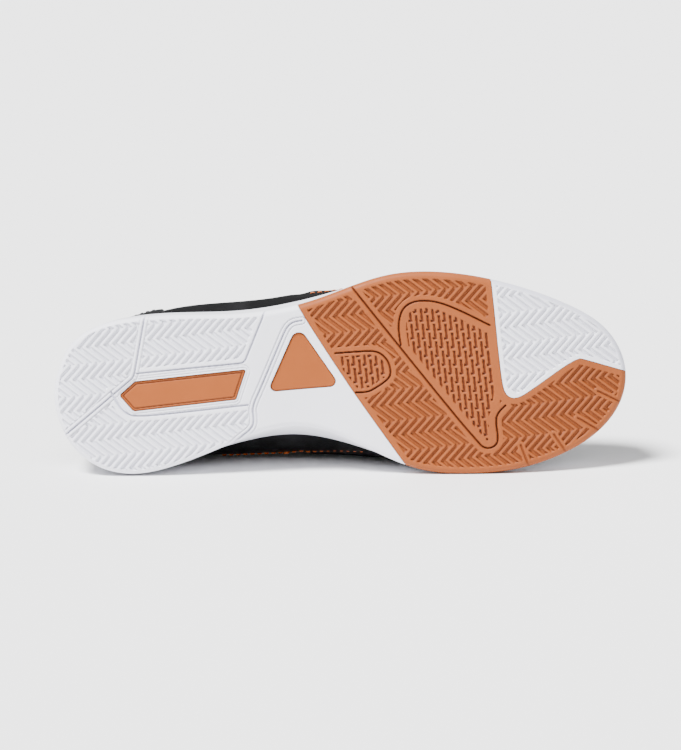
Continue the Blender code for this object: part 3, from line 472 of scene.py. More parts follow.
def slab(outer: Array, inner: Array) -> tuple[Array, Faces]:
    """A closed body between two grids of the same size, with quads round their edges.

    Args:
        outer: Points of the outer face in rows and columns.
        inner: Points of the inner face.

    Returns:
        The points and the faces, which point outwards.
    """
    rows, columns = outer.shape[:2]
    front = lattice(rows, columns)
    count = rows * columns
    index = np.arange(count).reshape(rows, columns)
    ahead = index[:, 1:]
    here = index[:, :-1]
    faces = [
        front,
        front[:, ::-1] + count,
        np.stack((ahead[0], here[0], here[0] + count, ahead[0] + count), axis=1),
        np.stack((here[-1], ahead[-1], ahead[-1] + count, here[-1] + count), axis=1),
    ]
    for edge, first, second in ((0, 0, 1), (-1, 1, 0)):
        low = index[first:rows - 1 + first, edge]
        high = index[second:rows - 1 + second, edge]
        faces.append(np.stack((low, high, high + count, low + count), axis=1))
    points = np.vstack((outer.reshape(-1, 3), inner.reshape(-1, 3)))
    return points, outward_faces(points, np.vstack(faces))


def outward_faces(points: Array, faces: Faces) -> Faces:
    """Turns a closed body's faces outwards: its volume, summed over them, is positive."""
    first, second, third, fourth = (points[faces[:, corner]] for corner in range(4))
    volume = np.einsum("ij,ij->", first, np.cross(second, third) + np.cross(third, fourth))
    return faces if volume > 0.0 else faces[:, ::-1]


@dataclass(frozen=True)
class Last:
    """The shoe's own form, from its driving sizes and the tables above."""

    length: float = 0.300
    ball_width: float = 0.107
    heel_height: float = 0.080
    instep_height: float = 0.100
    instep_radius: float = 0.042
    toe_spring: float = 0.011
    heel_bevel: float = 0.003
    shank_lift: float = 0.0015
    heel_flat_from: float = 0.085
    shank_from: float = 0.33
    shank_to: float = 0.55
    toe_break: float = 0.72
    side_height: float = 0.025
    rim_wall: float = 0.0022
    gap: float = 0.0003
    skirt_gap: float = 0.0007
    wall: float = 0.0022
    collar_wall: float = 0.0065
    collar_end: float = 0.42
    collar_fade: float = 0.10
    collar_from: float = 0.55
    collar_growth: float = 0.30
    eyelet_margin: float = 0.0085
    eyelet_pairs: int = 6
    throat_top: int = 5
    throat_foot: int = 10
    end_cluster: float = 0.055

    def place(self, spots: Sequence[Any]) -> Array:
        """Flat points of a table's spots, in metres."""
        scale = (self.length, self.ball_width)
        return np.array([(spot.along * scale[0], spot.across * scale[1]) for spot in spots])

    def ring_places(self, count: int) -> Array:
        """Places round the shoe from heel to toe and back, closer together at both ends."""
        step = np.arange(count) * 2.0 / count
        share = step - np.floor(step)
        return np.floor(step) + share - self.end_cluster * np.sin(2.0 * math.pi * share)

    def outline(self, ring: Any) -> Array:
        """The sole's outline: a closed cubic curve through the spots over chord length."""
        points = self.place(OUTLINE_OUTER + OUTLINE_INNER)
        chords = np.linalg.norm(np.roll(points, -1, axis=0) - points, axis=1)
        knots = np.concatenate(((0.0,), np.cumsum(chords)[:-1]))
        total = chords.sum()
        toe = knots[len(OUTLINE_OUTER)]
        ring = np.mod(np.asarray(ring, float), 2.0)
        at = np.where(ring < 1.0, ring * toe, toe + (ring - 1.0) * (total - toe))
        return closed_spline(knots, points, total, at)

    def outward(self, ring: Any) -> Array:
        """Level unit vectors that point out of the outline, square to its direction."""
        small = 0.002
        along = unit(self.outline(np.asarray(ring) + small) - self.outline(np.asarray(ring) - small))
        return np.column_stack((along[:, 1], -along[:, 0]))

    def column(self, name: str, ring: Array) -> Array:
        """A column of SIDES round the shoe, or its outer and inner form on the two sides."""
        along = [side.along for side in SIDES]
        at = np.clip(self.outline(ring)[:, 0] / self.length, 0.0, 1.0)
        if name in Side._fields:
            return natural_spline(along, [getattr(side, name) for side in SIDES], at)[:, 0]
        outer = natural_spline(along, [getattr(side, name + "_outer") for side in SIDES], at)
        inner = natural_spline(along, [getattr(side, name + "_inner") for side in SIDES], at)
        return np.where(np.mod(ring, 2.0) < 1.0, outer[:, 0], inner[:, 0])

    def ground(self, x: Any) -> Array:
        """Height of the tread over the ground: heel bevel, raised shank and toe spring."""
        along = np.asarray(x, float) / self.length
        heel = np.clip(1.0 - along / self.heel_flat_from, 0.0, 1.3)
        shank = np.clip((along - self.shank_from) / (self.shank_to - self.shank_from), 0.0, 1.0)
        toe = np.clip((along - self.toe_break) / (1.0 - self.toe_break), 0.0, 1.2)
        raised = self.shank_lift * np.sin(math.pi * shank) ** 2
        return self.heel_bevel * heel**2 + raised + self.toe_spring * toe**2

    def rim_height(self, ring: Array) -> Array:
        """Height of the sole's rim over the tread."""
        return self.column("rim", ring) * self.side_height

    def footbed_height(self, ring: Array) -> Array:
        """Height of the footbed over the tread."""
        return self.column("footbed", ring) * self.side_height

    def side_inset(self, ring: Array, height: Any) -> Array:
        """How far the side lies inside the outline: from tuck at the tread to lean at the rim."""
        share = height / self.rim_height(ring)
        tuck = self.column("tuck", ring) * self.side_height
        lean = self.column("lean", ring) * self.side_height
        return tuck * (1.0 - share) + lean * share

    def cup_inset(self, ring: Array) -> Array:
        """How far the rim's inner face lies inside the outline at the footbed.

        It drops plumb from the rim, or runs along with a side that flares outwards.
        """
        at_rim = self.side_inset(ring, self.rim_height(ring))
        return np.maximum(at_rim, self.side_inset(ring, self.footbed_height(ring))) + self.rim_wall

    def sole_ring(self, ring: Array, height: Any, inset: Any) -> Array:
        """Points round the sole at a height over the tread, an inset inside its side."""
        level = np.broadcast_to(height, ring.shape)
        depth = self.side_inset(ring, level) + inset
        flat = self.outline(ring) - self.outward(ring) * depth[:, None]
        return np.column_stack((flat, level))

    def on_ground(self, points: Array) -> Array:
        """Points over the tread, raised by the tread's own height over the ground."""
        raised = np.array(points, float)
        raised[..., 2] += self.ground(raised[..., 0])
        return raised

    def feather(self, ring: Array) -> Array:
        """The upper's outer face where it passes the sole's rim."""
        inset = self.rim_wall + self.gap
        return self.on_ground(self.sole_ring(ring, self.rim_height(ring), inset))

    def crest(self, x: Any) -> tuple[Array, Array]:
        """Across and height of the instep's top at x."""
        along = [row.along for row in CRESTS]
        at = np.ravel(np.asarray(x, float)) / self.length
        across = natural_spline(along, [row.across for row in CRESTS], at)[:, 0]
        height = natural_spline(along, [row.height for row in CRESTS], at)[:, 0]
        shape = np.shape(x)
        return (across * self.ball_width).reshape(shape), (height * self.instep_height).reshape(shape)

    def instep(self, x: Any, y: Any) -> Array:
        """Height of the arched instep: its crest less the square of the way from it over 2R."""
        across, height = self.crest(x)
        return height - (y - across) ** 2 / (2.0 * self.instep_radius)

    def rib_columns(self, ring: Array) -> Array:
        """The rib table read round the shoe: top edge, aim, lean, flare, rise and reach."""
        rows = [HEEL_RIB, *RIBS_OUTER, TOE_RIB, *reversed(RIBS_INNER)]
        inner = len(RIBS_OUTER) + 2
        outer_side = np.arange(len(rows)) < inner
        along = np.array([row.along for row in rows])
        knots = np.where(outer_side, along, 2.0 - along)
        side = np.where(outer_side, -1.0, 1.0)
        top_x = np.array([row.top for row in rows]) * self.length
        top_y = self.crest(top_x)[0] + side * np.array([row.half for row in rows]) * self.ball_width
        collar = np.array([row.height for row in rows]) * self.heel_height
        top_z = np.where(collar > 0.0, collar, self.instep(top_x, top_y))
        aim = np.array([row.aim for row in rows]) * self.length
        aim = np.column_stack((aim, self.crest(aim)[0]))
        step = 0.001
        beyond = unit(aim - self.feather(knots)[:, 0:2]) * step
        climb = self.instep(top_x + beyond[:, 0], top_y + beyond[:, 1]) - self.instep(top_x, top_y)
        along_instep = 90.0 - np.degrees(np.arctan2(climb, step))
        lean = np.where(collar > 0.0, [row.lean for row in rows], along_instep)
        holds = [(row.flare, row.rise, row.reach) for row in rows]
        table = np.column_stack((top_x, top_y, top_z, aim, lean, holds))
        return closed_spline(knots, table, 2.0, ring)

    def surface(self, ring: Any, share: Any) -> Array:
        """The upper's outer face: a cubic Bezier rib from the sole's rim to the top edge.

        The rib leaves the rim at its flare and meets the top edge at its lean.

        Args:
            ring: Places round the shoe, 0 at the heel, 1 at the toe.
            share: Places up the ribs, 0 at the rim and 1 at the top edge.

        Returns:
            Points with one more axis than ring.
        """
        ring, share = np.broadcast_arrays(np.asarray(ring, float), np.asarray(share, float))
        shape = ring.shape
        ring = ring.ravel()
        up = share.ravel()[:, None]
        table = self.rib_columns(ring)
        base = self.feather(ring)
        top = table[:, 0:3]
        inwards = unit(table[:, 3:5] - base[:, 0:2])
        span = np.linalg.norm(top - base, axis=1)
        lean = np.radians(table[:, 5])
        flare = np.radians(table[:, 6])
        out = np.column_stack((-inwards * np.sin(flare)[:, None], np.cos(flare)))
        home = np.column_stack((inwards * np.sin(lean)[:, None], np.cos(lean)))
        low = base + out * (span * table[:, 7])[:, None]
        high = top - home * (span * table[:, 8])[:, None]
        rest = 1.0 - up
        rib = rest**3 * base + 3.0 * rest**2 * up * low + 3.0 * rest * up**2 * high + up**3 * top
        return rib.reshape(*shape, 3)

    def surface_normal(self, ring: Any, share: Any) -> Array:
        """Unit vectors out of the upper's outer face, from small steps round and up."""
        small = 0.004
        ring, share = np.broadcast_arrays(np.asarray(ring, float), np.asarray(share, float))
        around = self.surface(ring + small, share) - self.surface(ring - small, share)
        up = self.surface(ring, np.minimum(share + small, 1.0)) - self.surface(ring, share - small)
        return unit(np.cross(around, up))

    def wall_at(self, ring: Array, share: Array) -> Array:
        """The upper's wall: padded at the collar, thin below it and along the throat."""
        from_heel = np.minimum(np.mod(ring, 2.0), 2.0 - np.mod(ring, 2.0))
        along = soft_step(0.0, 1.0, (self.collar_end - from_heel) / self.collar_fade)
        up = soft_step(0.0, 1.0, (share - self.collar_from) / self.collar_growth)
        return self.wall + (self.collar_wall - self.wall) * along * up

    def share_over_rim(self, ring: Array, clearance: Any) -> Array:
        """Share along each rib that lies a height over the sole's rim."""
        shares = np.linspace(0.0, 0.8, 81)
        height = self.surface(ring[:, None], shares)[..., 2] - self.feather(ring)[:, 2, None]
        wanted = np.broadcast_to(clearance, ring.shape)
        found = np.maximum(np.argmax(height >= wanted[:, None], axis=1), 1)
        row = np.arange(len(ring))
        low = height[row, found - 1]
        part = np.clip((wanted - low) / (height[row, found] - low), 0.0, 1.0)
        return shares[found - 1] + part * shares[1]

    def share_below_top(self, ring: Array, distance: float) -> Array:
        """Share along each rib that lies a distance below its top edge."""
        shares = np.linspace(0.0, 1.0, 121)
        ribs = self.surface(ring[:, None], shares)
        pieces = np.linalg.norm(np.diff(ribs, axis=1), axis=2)
        below = np.cumsum(pieces[:, ::-1], axis=1)[:, ::-1]
        below = np.column_stack((below, np.zeros(len(ring))))
        found = np.maximum(np.argmax(below <= distance, axis=1), 1)
        row = np.arange(len(ring))
        high = below[row, found - 1]
        part = np.clip((high - distance) / (high - below[row, found]), 0.0, 1.0)
        return shares[found - 1] + part * shares[1]

    def eyelets(self) -> Array:
        """Eyelet places from the vamp to the top: rows of x, outer y and inner y."""
        throat = RIBS_OUTER[self.throat_top:self.throat_foot + 2]
        share = np.arange(self.eyelet_pairs) / (self.eyelet_pairs - 1)
        front = RIBS_OUTER[self.throat_foot].top * self.length + self.eyelet_margin
        back = RIBS_OUTER[self.throat_top].top * self.length + self.eyelet_margin
        x = front + (back - front) * share
        tops = [row.top * self.length for row in throat]
        half = natural_spline(tops, [row.half * self.ball_width for row in throat], x)[:, 0]
        across = self.crest(x)[0]
        reach = half + self.eyelet_margin
        return np.column_stack((x, across - reach, across + reach))


@dataclass(frozen=True)
class Placement:
    """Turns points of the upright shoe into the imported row's frame."""

    axes: Array
    origin: Array

    @classmethod
    def from_mounts(cls, mounts: Sequence[dict[str, Any]], last: Last) -> Placement:
        """Reads the turn from the row's two flat mounts.

        Both lie on the tread at the same place across. The way between them is the upright
        X, and the way into the sole is the upright Z.

        Args:
            mounts: The record's mounts.
            last: The shoe's form, for the mounts' upright places.

        Returns:
            The placement.
        """
        heel_rest = np.array((0.200 * last.length, -0.190 * last.ball_width, 0.0))
        named = {mount["name"]: mount for mount in mounts}
        heel = np.array(named["heel_flat"]["pos_m"], float)
        forefoot = np.array(named["forefoot_flat"]["pos_m"], float)
        ahead = unit(forefoot - heel)
        up = -np.array(named["heel_flat"]["axis"], float)
        up = unit(up - ahead * (up @ ahead))
        axes = np.array((ahead, np.cross(up, ahead), up))
        return cls(axes, heel - heel_rest @ axes)

    def to_row(self, points: Array) -> Array:
        """Points in the row's frame."""
        return points @ self.axes + self.origin


class NodeBench:
    """A material's node tree, with short ways to add nodes and join them."""

    def __init__(self, name: str) -> None:
        """Makes a material with one Principled shader."""
        self.material = bpy.data.materials.new(name)
        self.material.use_nodes = True
        self.tree = self.material.node_tree
        self.shader = self.tree.nodes["Principled BSDF"]

    def add(self, kind: str, **settings: Any) -> bpy.types.Node:
        """Adds a node. A setting that names an input sets its value, or else a property."""
        node = self.tree.nodes.new(kind)
        for name, value in settings.items():
            title = name.replace("_", " ").title()
            if title in node.inputs:
                node.inputs[title].default_value = value
            else:
                setattr(node, name, value)
        return node

    def join(self, source: bpy.types.NodeSocket, target: bpy.types.NodeSocket) -> None:
        """Joins an output to an input."""
        self.tree.links.new(source, target)

    def place(self, kind: str = "Object") -> bpy.types.NodeSocket:
        """The object's own coordinates, or its UV map."""
        return self.add("ShaderNodeTexCoord").outputs[kind]

    def noise(self, where: bpy.types.NodeSocket, scale: float, detail: float = 3.0) -> Any:
        """A noise texture's value at a place."""
        node = self.add("ShaderNodeTexNoise", scale=scale, detail=detail)
        self.join(where, node.inputs["Vector"])
        return node.outputs["Fac"]

    def cells(self, where: bpy.types.NodeSocket, scale: float) -> Any:
        """Distance to the nearest cell's middle in a pattern of cells."""
        node = self.add("ShaderNodeTexVoronoi", scale=scale)
        self.join(where, node.inputs["Vector"])
        return node.outputs["Distance"]

    def spread(self, value: Any, low: float, high: float, start: float, end: float) -> Any:
        """A value between low and high, spread over start to end."""
        node = self.add("ShaderNodeMapRange")
        for name, number in (("From Min", low), ("From Max", high), ("To Min", start), ("To Max", end)):
            node.inputs[name].default_value = number
        self.join(value, node.inputs["Value"])
        return node.outputs["Result"]

    def blend(self, share: Any, first: Any, second: Any) -> Any:
        """A colour between two, by a share."""
        node = self.add("ShaderNodeMix", data_type="RGBA")
        for value, socket in ((first, node.inputs[6]), (second, node.inputs[7])):
            if isinstance(value, bpy.types.NodeSocket):
                self.join(value, socket)
            else:
                socket.default_value = (*value, 1.0)
        self.join(share, node.inputs[0])
        return node.outputs[2]

    def attribute(self, name: str) -> Any:
        """A number kept on the piece's points, 0 where it has none."""
        return self.add("ShaderNodeAttribute", attribute_name=name).outputs["Fac"]

    def bump(self, height: Any, distance: float, strength: float = 1.0, after: Any = None) -> Any:
        """A bump from a height, on top of another bump."""
        node = self.add("ShaderNodeBump", strength=strength, distance=distance)
        self.join(height, node.inputs["Height"])
        if after is not None:
            self.join(after, node.inputs["Normal"])
        return node.outputs["Normal"]

    def finish(self, colour: Any, roughness: Any, normal: Any) -> bpy.types.Material:
        """Joins colour, roughness and bump to the shader and hands over the material."""
        for name, value in (("Base Color", colour), ("Roughness", roughness), ("Normal", normal)):
            if isinstance(value, bpy.types.NodeSocket):
                self.join(value, self.shader.inputs[name])
            elif value is not None:
                self.shader.inputs[name].default_value = value
        return self.material


@dataclass(frozen=True)
class RubberFinish:
    """Moulded rubber: faint clouds in its colour, a fine skin and painted shade in its grooves."""

    name: str
    colour: tuple[float, float, float]
    shade: tuple[float, float, float]
    # Colour of the painted shade in grooves, lines and edges.
    groove: tuple[float, float, float]
    roughness: float = 0.50
    specular: float = 0.35
    skin: float = 0.00004

    def build(self) -> bpy.types.Material:
        """Makes the material."""
        bench = NodeBench(self.name)
        where = bench.place()
        clouds = bench.spread(bench.noise(where, 42.0), 0.3, 0.7, 0.0, 1.0)
        colour = bench.blend(clouds, self.shade, self.colour)
        # Painted shade: the attribute's share moves the colour towards the groove colour.
        colour = bench.blend(bench.attribute(PAINTED_SHADE_ATTRIBUTE), colour, self.groove)
        gloss = bench.spread(
            bench.noise(where, 160.0, 5.0), 0.3, 0.7, self.roughness - 0.06, self.roughness + 0.10
        )
        bench.shader.inputs["Specular IOR Level"].default_value = self.specular
        return bench.finish(colour, gloss, bench.bump(bench.noise(where, 2600.0), self.skin))


@dataclass(frozen=True)
class FoamFinish:
    """Moulded foam: matt, with the fine stipple of its mould."""

    name: str
    colour: tuple[float, float, float]
    shade: tuple[float, float, float]

    def build(self) -> bpy.types.Material:
        """Makes the material."""
        bench = NodeBench(self.name)
        where = bench.place()
        clouds = bench.spread(bench.noise(where, 30.0), 0.3, 0.7, 0.0, 1.0)
        colour = bench.blend(clouds, self.shade, self.colour)
        stipple = bench.bump(bench.cells(where, 1500.0), 0.00005, 0.6)
        gloss = bench.spread(bench.noise(where, 90.0), 0.3, 0.7, 0.55, 0.68)
        return bench.finish(colour, gloss, stipple)


@dataclass(frozen=True)
class LeatherFinish:
    """Synthetic leather: a cell grain, soft wrinkles and a few paler clouds."""

    name: str
    colour: tuple[float, float, float]
    worn: tuple[float, float, float]
    grain: float = 900.0
    depth: float = 0.00012
    roughness: float = 0.55
    specular: float = 0.25

    def build(self) -> bpy.types.Material:
        """Makes the material."""
        bench = NodeBench(self.name)
        where = bench.place()
        wear = bench.spread(bench.noise(where, 55.0, 6.0), 0.45, 0.75, 0.0, 1.0)
        colour = bench.blend(wear, self.colour, self.worn)
        wrinkles = bench.bump(bench.noise(where, 210.0, 6.0), 0.00025, 0.7)
        grain = bench.bump(bench.cells(where, self.grain), self.depth, 0.9, wrinkles)
        gloss = bench.spread(
            bench.noise(where, 120.0, 4.0), 0.3, 0.7, self.roughness - 0.08, self.roughness + 0.12
        )
        bench.shader.inputs["Specular IOR Level"].default_value = self.specular
        return bench.finish(colour, gloss, grain)


class Weave(Enum):
    """How a cloth's threads run."""

    MESH = "mesh"
    KNIT = "knit"
    BRAID = "braid"


@dataclass(frozen=True)
class ClothFinish:
    """Cloth on its piece's own UV map, whose unit is a metre."""

    name: str
    colour: tuple[float, float, float]
    thread: tuple[float, float, float]
    weave: Weave
    threads: float
    depth: float = 0.00022

    def wave(self, bench: NodeBench, where: Any, turn: float, scale: float) -> Any:
        """Straight bands across the cloth, turned by an angle."""
        mapping = bench.add("ShaderNodeMapping")
        mapping.inputs["Rotation"].default_value = (0.0, 0.0, turn)
        bench.join(where, mapping.inputs["Vector"])
        node = bench.add("ShaderNodeTexWave", scale=scale, distortion=0.0)
        bench.join(mapping.outputs["Vector"], node.inputs["Vector"])
        return node.outputs["Fac"]

    def build(self) -> bpy.types.Material:
        """Makes the material: two crossing sets of bands, or round holes for a mesh."""
        bench = NodeBench(self.name)
        where = bench.place("UV")
        if self.weave is Weave.MESH:
            relief = bench.cells(where, self.threads)
        else:
            lean = math.radians(45.0 if self.weave is Weave.BRAID else 12.0)
            first = self.wave(bench, where, lean, self.threads)
            second = self.wave(bench, where, -lean, self.threads)
            product = bench.add("ShaderNodeMath", operation="MULTIPLY")
            bench.join(first, product.inputs[0])
            bench.join(second, product.inputs[1])
            relief = product.outputs[0]
        colour = bench.blend(bench.spread(relief, 0.05, 0.6, 0.0, 1.0), self.colour, self.thread)
        bench.shader.inputs["Sheen Weight"].default_value = 0.04
        bench.shader.inputs["Specular IOR Level"].default_value = 0.2
        return bench.finish(colour, 0.85, bench.bump(relief, self.depth))


@dataclass(frozen=True)
class ThreadFinish:
    """Sewing thread with a slight shine."""

    name: str
    colour: tuple[float, float, float]

    def build(self) -> bpy.types.Material:
        """Makes the material."""
        bench = NodeBench(self.name)
        where = bench.place()
        dark = tuple(0.6 * part for part in self.colour)
        colour = bench.blend(bench.noise(where, 1400.0), dark, self.colour)
        return bench.finish(colour, 0.6, bench.bump(bench.noise(where, 3000.0), 0.00005))


@dataclass(frozen=True)
class FloorFinish:
    """Plain pale floor."""

    name: str = "pale_floor"
    colour: tuple[float, float, float] = (0.93, 0.93, 0.935)

    def build(self) -> bpy.types.Material:
        """Makes the material."""
        bench = NodeBench(self.name)
        return bench.finish((*self.colour, 1.0), 0.9, None)


@dataclass
class Wardrobe:
    """Every finish of the shoe, built once."""

    # Each rubber's third colour is its painted shade in grooves and edges.
    white_rubber: Any = RubberFinish(
        "white_rubber", (0.86, 0.86, 0.92), (0.83, 0.83, 0.90), (0.56, 0.56, 0.66)
    )
    gum_rubber: Any = RubberFinish(
        "gum_rubber", (0.295, 0.079, 0.021), (0.265, 0.069, 0.018), (0.095, 0.020, 0.006),
        roughness=0.52, specular=0.15,
    )
    orange_rubber: Any = RubberFinish(
        "orange_rubber", (0.310, 0.080, 0.018), (0.280, 0.071, 0.016), (0.110, 0.023, 0.007),
        roughness=0.48, specular=0.15,
    )
    white_foam: Any = FoamFinish("white_foam", (0.76, 0.76, 0.81), (0.72, 0.72, 0.78))
    black_upper: Any = LeatherFinish(
        "black_upper", (0.0038, 0.0038, 0.0042), (0.009, 0.009, 0.010),
        grain=1100.0, depth=0.00010, roughness=0.60, specular=0.08,
    )
    black_overlay: Any = LeatherFinish(
        "black_overlay", (0.0058, 0.0058, 0.0064), (0.013, 0.013, 0.014),
        grain=800.0, depth=0.00012, roughness=0.50, specular=0.12,
    )
    liner: Any = ClothFinish("liner", (0.010, 0.010, 0.011), (0.032, 0.032, 0.035), Weave.KNIT, 420.0)
    tongue: Any = ClothFinish("tongue", (0.028, 0.028, 0.031), (0.007, 0.007, 0.008), Weave.MESH, 520.0)
    lace: Any = ClothFinish("lace", (0.006, 0.006, 0.007), (0.026, 0.026, 0.028), Weave.BRAID, 260.0)
    orange_thread: Any = ThreadFinish("orange_thread", (0.62, 0.150, 0.030))
    black_thread: Any = ThreadFinish("black_thread", (0.035, 0.035, 0.038))
    built: dict[str, bpy.types.Material] = field(default_factory=dict)

    def get(self, name: str) -> bpy.types.Material:
        """The material of a finish, made on first use."""
        if name not in self.built:
            self.built[name] = getattr(self, name).build()
        return self.built[name]


@dataclass
class Workshop:
    """Where pieces are made: the shoe's form, its placement and its finishes."""

    last: Last
    placement: Placement
    wardrobe: Wardrobe

    def piece(
        self, name: str, points: Array, faces: Any, finish: str, slot: str,
        replaces: Sequence[str] = (), uv: Array | None = None, cut: Array | None = None,
    ) -> bpy.types.Object:
        """Makes a piece from upright points, dresses it and tells the frame about it.

        Args:
            name: The piece's name.
            points: Its points in the upright frame.
            faces: Its faces.
            finish: The finish's name in the wardrobe.
            slot: Not used.
            replaces: The CAD nodes that it stands for.
            uv: One flat place for each point, in metres.
            cut: Share of painted shade at each point, from 0 to 1, kept in the attribute that darkens its
                colour.

        Returns:
            The new object.
        """
        mesh = bpy.data.meshes.new(name)
        rows = faces.tolist() if isinstance(faces, np.ndarray) else faces
        mesh.from_pydata(self.placement.to_row(points).tolist(), [], rows)
        mesh.polygons.foreach_set("use_smooth", np.ones(len(mesh.polygons), bool))
        if uv is not None:
            corners = np.empty(len(mesh.loops), int)
            mesh.loops.foreach_get("vertex_index", corners)
            layer = mesh.uv_layers.new(name="UVMap")
            layer.data.foreach_set("uv", np.ascontiguousarray(uv[corners], dtype=np.float32).ravel())
        if cut is not None:
            layer = mesh.attributes.new(PAINTED_SHADE_ATTRIBUTE, "FLOAT", "POINT")
            layer.data.foreach_set("value", np.ascontiguousarray(cut, dtype=np.float32))
        mesh.materials.append(self.wardrobe.get(finish))
        mesh.update()
        made = bpy.data.objects.new(name, mesh)
        bpy.context.scene.collection.objects.link(made)
        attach(made, BODY)
        if replaces:
            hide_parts(*replaces)
        LOG.info("%s: %d faces", name, len(mesh.polygons))
        return made


class Panel(Enum):
    """The outsole's three panels."""

    HEEL = "outsole_heel"
    FOREFOOT = "outsole_forefoot"
    TOE = "outsole_toe"


@dataclass
class Tread:
    """The outsole: three panels with herringbone and brick grooves, and two orange inserts."""

    shop: Workshop
    cell: float = 0.00035
    thickness: float = 0.0045
    edge_round: float = 0.0030
    groove: float = 0.0014
    groove_width: float = 0.0008
    tread_depth: float = 0.0011
    # Painted shade on herringbone groove floors and walls, and the width of the painted wall shadow.
    herring_painted_shade: tuple[float, float] = (0.06, 0.55)
    wall_shadow: float = 0.0006
    insert_recess: float = 0.0006
    bar_line: float = 0.0013
    bar_line_depth: float = 0.0006
    insert_step: float = 0.0004
    # Painted shade on the insert's line and sunken edge.
    insert_painted_shade: float = 0.7
    rim_lines: tuple[float, float] = (0.0010, 0.0023)
    rim_line_depth: float = 0.0005
    # Painted shade in the rim lines round the bar window.
    rim_line_painted_shade: float = 0.35
    heel_companion: float = 0.0021
    shank_companion: float = 0.0019
    companion_share: float = 0.5
    heel_edge_margin: float = 0.0022
    heel_line_margin: float = 0.0026
    toe_margin: float = 0.0024
    # Painted shade on the toe's rounded edge band.
    toe_band_painted_shade: float = 0.7
    ball_edge_margin: float = 0.0036
    ball_parting_margin: float = 0.0032
    ball_line_margin: float = 0.0030
    oval_margin: float = 0.0040
    dee_margin: float = 0.0020
    spoke_line: float = 0.6
    brick_share: float = 0.8
    # Painted shade in the brick grooves.
    brick_painted_shade: float = 0.9
    brick_dash: float = 0.86
    brick_foot: float = 0.82
    brick_foot_reach: float = 0.75
    soft_wall: float = 0.0002
    pitch: float = 0.00459
    row_height: float = 0.0165
    row_slope: float = 0.12
    zigzag_out: float = 0.00996
    zigzag_back: float = 0.00786
    zigzag_turn: float = 0.52
    forefoot_start: tuple[float, float] = (0.1807, 0.0073)
    heel_start: tuple[float, float] = (0.0184, -0.0223)
    brick_pitch: float = 0.00294
    brick_length: float = 0.00918
    brick_line: float = 0.0012
    sharp_reach: float = 0.0012
    spoke_clearance: float = 0.0020
    brick_lean: float = 0.12
    brick_start: tuple[float, float] = (0.1878, -0.0250)
    corner_steps: int = 8

    def rounded(self, corners: Sequence[Corner], inset: float = 0.0) -> Array:
        """A window's outline: an arc at each corner, moved inwards by an inset.

        The arc's middle lies where the two sides, moved in by the radius, meet.

        Args:
            corners: The window's corners in order.
            inset: How far the outline moves in.

        Returns:
            Points of the closed outline.
        """
        points = self.shop.last.place(corners)
        after = np.roll(points, -1, axis=0)
        way = unit(after - points)
        area = np.sum(points[:, 0] * after[:, 1] - points[:, 1] * after[:, 0])
        inside = np.column_stack((-way[:, 1], way[:, 0])) * math.copysign(1.0, area)
        line = []
        for index, corner in enumerate(corners):
            one = inside[index - 1]
            other = inside[index]
            radius = corner.radius * self.shop.last.ball_width
            centre = points[index] + (one + other) / (1.0 + one @ other) * radius
            start = math.atan2(-one[1], -one[0])
            sweep = math.atan2(one[0] * other[1] - one[1] * other[0], one @ other)
            angle = start + sweep * np.linspace(0.0, 1.0, self.corner_steps)
            arc = np.column_stack((np.cos(angle), np.sin(angle)))
            line.append(centre + (radius - inset) * arc)
        return np.vstack(line)

    def edge(self) -> Array:
        """The tread's outer edge, where its rounding ends."""
        ring = self.shop.last.ring_places(300)
        return self.shop.last.sole_ring(ring, self.edge_round, 0.0)[:, 0:2]

    def side_of(self, parting: Sequence[Spot], far: Sequence[Spot], points: Array) -> Array:
        """Distance from a parting, positive on the side that holds the far spots."""
        line = cut_corners(self.shop.last.place(parting))
        loop = np.vstack((line, self.shop.last.place(far)))
        distance = line_distance(points, line)
        return np.where(inside_loop(points, loop), distance, -distance)

    def heel_side(self, points: Array) -> Array:
        """Distance from the forefoot parting, positive towards the heel."""
        far = (Spot(0.634, 2.0), Spot(-1.0, 2.0), Spot(-1.0, -2.0), Spot(0.414, -2.0))
        return self.side_of(FOREFOOT_PARTING, far, points)

    def toe_side(self, points: Array) -> Array:
        """Distance from the toe parting, positive towards the toe panel."""
        far = (Spot(2.0, -0.05), Spot(2.0, -2.0), Spot(0.756, -2.0))
        return self.side_of(TOE_PARTING, far, points)

    def windows(self, points: Array) -> Array:
        """Depth inside the nearer of the two windows, negative outside."""
        bar = loop_depth(points, self.rounded(BAR_WINDOW))
        arch = loop_depth(points, self.rounded(ARCH_WINDOW))
        return np.maximum(bar, arch)

    def region(self, panel: Panel, points: Array, edge: Array) -> Array:
        """Depth inside a panel: the least of its depths inside edge, partings and windows."""
        half_gap = self.shop.last.gap / 2.0
        if panel is Panel.HEEL:
            side = np.minimum(self.heel_side(points) - half_gap, -self.windows(points))
        elif panel is Panel.FOREFOOT:
            side = np.minimum(-self.heel_side(points), -self.toe_side(points)) - half_gap
        else:
            side = self.toe_side(points) - half_gap
        return np.minimum(edge, side)

